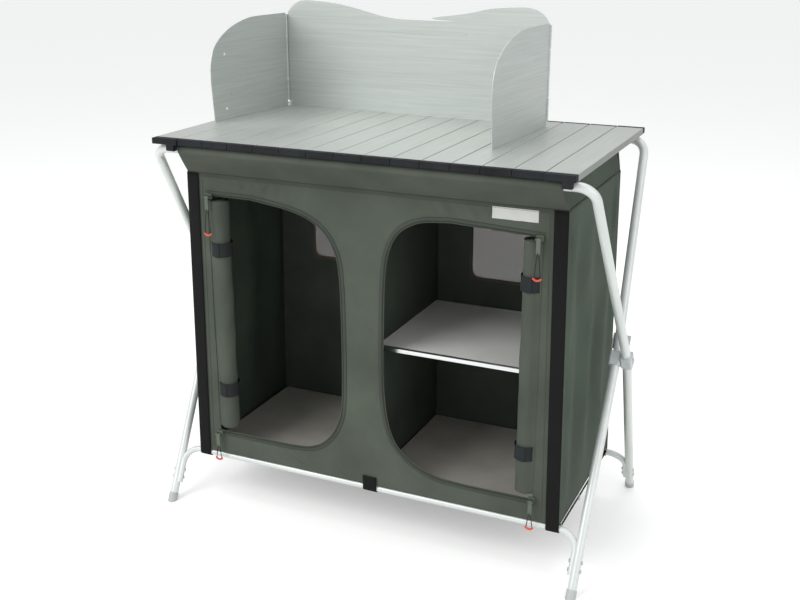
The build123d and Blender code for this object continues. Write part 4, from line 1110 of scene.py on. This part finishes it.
def strap(name, side, path, low_x, high_x, lean):
    """A strap: its section carried over its width, domed by 0.3 mm of half a sine wave. Lean times the
    height over the box's foot moves it sideways, so that it follows the sloping corner."""
    v = np.linspace(0, 1, 7)[None, :]
    height = path[:, 1:]
    shift = lean * np.clip(height - BOX_BOTTOM, 0, None)
    x = low_x + (high_x - low_x) * v + shift
    dome = 0.0003 * np.sin(np.pi * v)
    y = side * -(path[:, :1] - dome) + 0 * v
    points = np.stack([x, y, height + 0 * v], -1)
    uv = np.stack([(high_x - low_x) * v + 0 * height, lengths(path)[:, None] + 0 * v], -1)
    return cloth_grid(name, points, uv, 0.0014, webbing)


# A corner strap leans by the slope of the box's edge and 1 mm more, to end flush with the top corner
lean = -(HALF_BOTTOM - HALF_TOP + 0.001) / (BOX_TOP - BOX_BOTTOM)
long_path, short_path = loop_path(BOX_TOP), loop_path(MIDDLE_STRAP_TOP)
for end, side, hang in (("front", -1, own), ("rear", 1, fold)):
    straps = []
    for name, hand in SIDES.items():
        low, high = sorted(hand * edge for edge in CORNER_STRAP)
        straps.append(strap(f"{end}_strap_{name}", side, long_path, low, high, hand * lean))
    straps.append(strap(f"{end}_strap_middle", side, short_path, *MIDDLE_STRAP, 0))
    for piece in straps:
        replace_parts(hang(piece, "webbing"), f"{end}_straps")

SIDE_STRAP_HALF, SIDE_STRAP_X, SIDE_STRAP_Z, SIDE_STRAP_WIDTH = 0.1685, 0.4046, 0.1064, 0.006
RING_RADIUS, RING_WIRE = 0.0052, 0.0007
y = np.linspace(-SIDE_STRAP_HALF, SIDE_STRAP_HALF, 60)[:, None]
v = np.linspace(0, 1, 4)[None, :]
droop = 0.0008 * (1 - (y / SIDE_STRAP_HALF) ** 2)
flat = np.stack([SIDE_STRAP_WIDTH * v + 0 * y, y + 0 * v], -1)
turn = np.linspace(0, 2 * np.pi, 33)
for name, hand in SIDES.items():
    height = SIDE_STRAP_Z + SIDE_STRAP_WIDTH * v - droop
    points = np.stack([hand * SIDE_STRAP_X + 0 * height, y + 0 * v, height], -1)
    piece = cloth_grid(f"side_strap_{name}", points, flat, 0.0011, webbing)
    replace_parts(fold(piece, "webbing"), "side_straps")
    across, up = -0.051 + RING_RADIUS * np.cos(turn), 0.1070 + RING_RADIUS * np.sin(turn)
    wire = np.stack([0 * turn + hand * 0.4062, across, up], 1)
    ring = tube(f"side_strap_ring_{name}", wire, RING_WIRE, plated_steel, 8, (1, 0, 0))
    fold(ring, "rivet_steel")
print("corner strap", round(float(lengths(long_path)[-1]), 3), "m long")


# %% [markdown]
# ## Boards and shelf
# The boards are hard, and their CAD mesh is right as it is. They are taken out before the real cupboard
# folds. Here they are copies that ride on the cupboard with the cloth instead, because a CAD mesh itself
# is never changed. A CAD mesh is loose triangles, so the copy's doubled points are merged first.

# %% Boards
def copied(node_name, material, new_name):
    """A copy of a CAD node's mesh with its doubled points merged."""
    mesh = nodes[node_name].data.copy()
    working = bmesh.new()
    working.from_mesh(mesh)
    bmesh.ops.remove_doubles(working, verts=working.verts, dist=1e-6)
    working.to_mesh(mesh)
    working.free()
    mesh.materials.clear()
    mesh.materials.append(material)
    return new_object(new_name, mesh)


for node_name, material, slot_name in (
    ("floor_boards", fibreboard, "board"),
    ("shelf_board", white_board, "board"),
    ("shelf_edges", edge_metal, "shelf_aluminium"),
):
    piece = copied(node_name, material, node_name + "_shown")
    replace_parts(fold(piece, slot_name), node_name)
    print(piece.name, len(piece.data.vertices), "points")

# %% [markdown]
# ## Seams, piping and the bare label patch
# Sewn edges are what makes cloth look made. Piping covers the seam at the box's top edge, rows of
# stitches run beside it and down the corners, and a plain woven patch sits over the right doorway.
# Stitches are tiny blocks along a line, each a little proud of the cloth.

# %% Piping and stitches
# The piping takes the lining canvas, darkened as painted shade
PIPING = 0.0014
along = np.linspace(-HALF_TOP, HALF_TOP, 120)
top_line = np.stack([along, 0 * along - HALF_DEPTH - 0.0008, 0 * along + BOX_TOP], 1)
own(tube("front_piping", top_line, PIPING, shaded_lining), "box_fabric")
for name, hand in SIDES.items():
    along = np.linspace(-0.180, 0.180, 60)
    end_line = np.stack([0 * along + hand * 0.3922, along, 0 * along + BOX_TOP], 1)
    fold(tube(f"end_piping_{name}", end_line, PIPING, shaded_lining), "box_fabric")

# Two rows under the top edge, and one beside each corner strap
xs = np.linspace(-0.362, 0.362, 200)
zs = np.linspace(BOX_BOTTOM + 0.01, BOX_TOP - 0.012, 200)
rows = [on_front(xs, 0 * xs + BOX_TOP - offset, 0.0006) for offset in (0.004, 0.0065)]
rows += [on_front(hand * (half_width(zs) - 0.0335), zs, 0.0006) for hand in SIDES.values()]
own(stitches("front_stitches", rows, (0, -1, 0)), "box_fabric")

xs, zs = np.meshgrid(np.linspace(0.252, 0.338, 40), np.linspace(0.6955, 0.7175, 12), indexing="xy")
label = cloth_grid("label_patch", on_front(xs, zs, 0.0010), np.stack([xs, zs], -1), 0.0008, label_weave)
own(label, "net_fabric")
print(len(rows), "rows of stitches on the front")

# %% [markdown]
# ## Floor, light and camera
# A product photo has a pale ground, large soft lamps and no harsh shadow. The lamps stay low enough that
# pale paint doesn't clip to white. The white of the picture's ground is a glow of the floor that only
# the camera and reflections see, and a sky that is plain white for the camera alone, so neither lights
# the cupboard. The camera stands where the photo's camera stood, worked out from the table top's corners.

# %% Stage
floor_material, tree, _, _ = new_material("studio_floor")
rays = add(tree, "LightPath").outputs
seen = add(tree, "Math", {"operation": "MAXIMUM"}, i0=rays["Is Camera Ray"], i1=rays["Is Glossy Ray"])
glow = add(tree, "Math", {"operation": "MULTIPLY"}, i0=seen, i1=0.3)
finish_material(tree, linear("#ececea"), 0.9, Emission_Color=(1, 1, 1, 1), Emission_Strength=glow)
bpy.ops.mesh.primitive_plane_add(size=80)
floor = bpy.context.object
floor.name = "studio_floor"
floor.location = (0, 0, -0.0005)
floor.data.materials.append(floor_material)


def softbox(name, place, target, size, power):
    """A square soft light that faces a target."""
    data = bpy.data.lights.new(name, "AREA")
    data.size = size
    data.energy = power
    made = new_object(name, data)
    made.location = place
    made.rotation_euler = (Vector(target) - Vector(place)).to_track_quat("-Z", "Y").to_euler()


softbox("key_light", (-1.6, -2.6, 2.6), (0, 0, 0.5), 2.2, 70)
softbox("fill_light", (3.0, -1.2, 1.8), (0.2, 0, 0.5), 2.6, 30)
softbox("top_light", (0, 0.4, 3.4), (0, 0, 0.6), 2.6, 35)

world = bpy.data.worlds.new("studio")
world.use_nodes = True
sky = world.node_tree
sky.nodes.clear()
soft = add(sky, "Background", Color=linear("#f4f6f8"), Strength=0.75)
plain_white = add(sky, "Background", Color=(1, 1, 1, 1), Strength=1.0)
rays = add(sky, "LightPath").outputs
add(sky, "OutputWorld", Surface=add(sky, "MixShader", i0=rays["Is Camera Ray"], i1=soft, i2=plain_white))
bpy.context.scene.world = world

# The focal length in pixels, 1083.3 for a picture 800 pixels wide, as a lens for a sensor 36 mm wide
camera_data = bpy.data.cameras.new("camera")
camera_data.sensor_width = 36
camera_data.lens = 48.75
camera = new_object("camera", camera_data)
camera.location = (0.874356, -1.942918, 1.177335)
yaw, pitch = 0.427, -0.329
forward = Vector((-math.sin(yaw) * math.cos(pitch), math.cos(yaw) * math.cos(pitch), math.sin(pitch)))
camera.rotation_euler = forward.to_track_quat("-Z", "Y").to_euler()
bpy.context.scene.camera = camera
bpy.context.scene.view_settings.view_transform = "Standard"
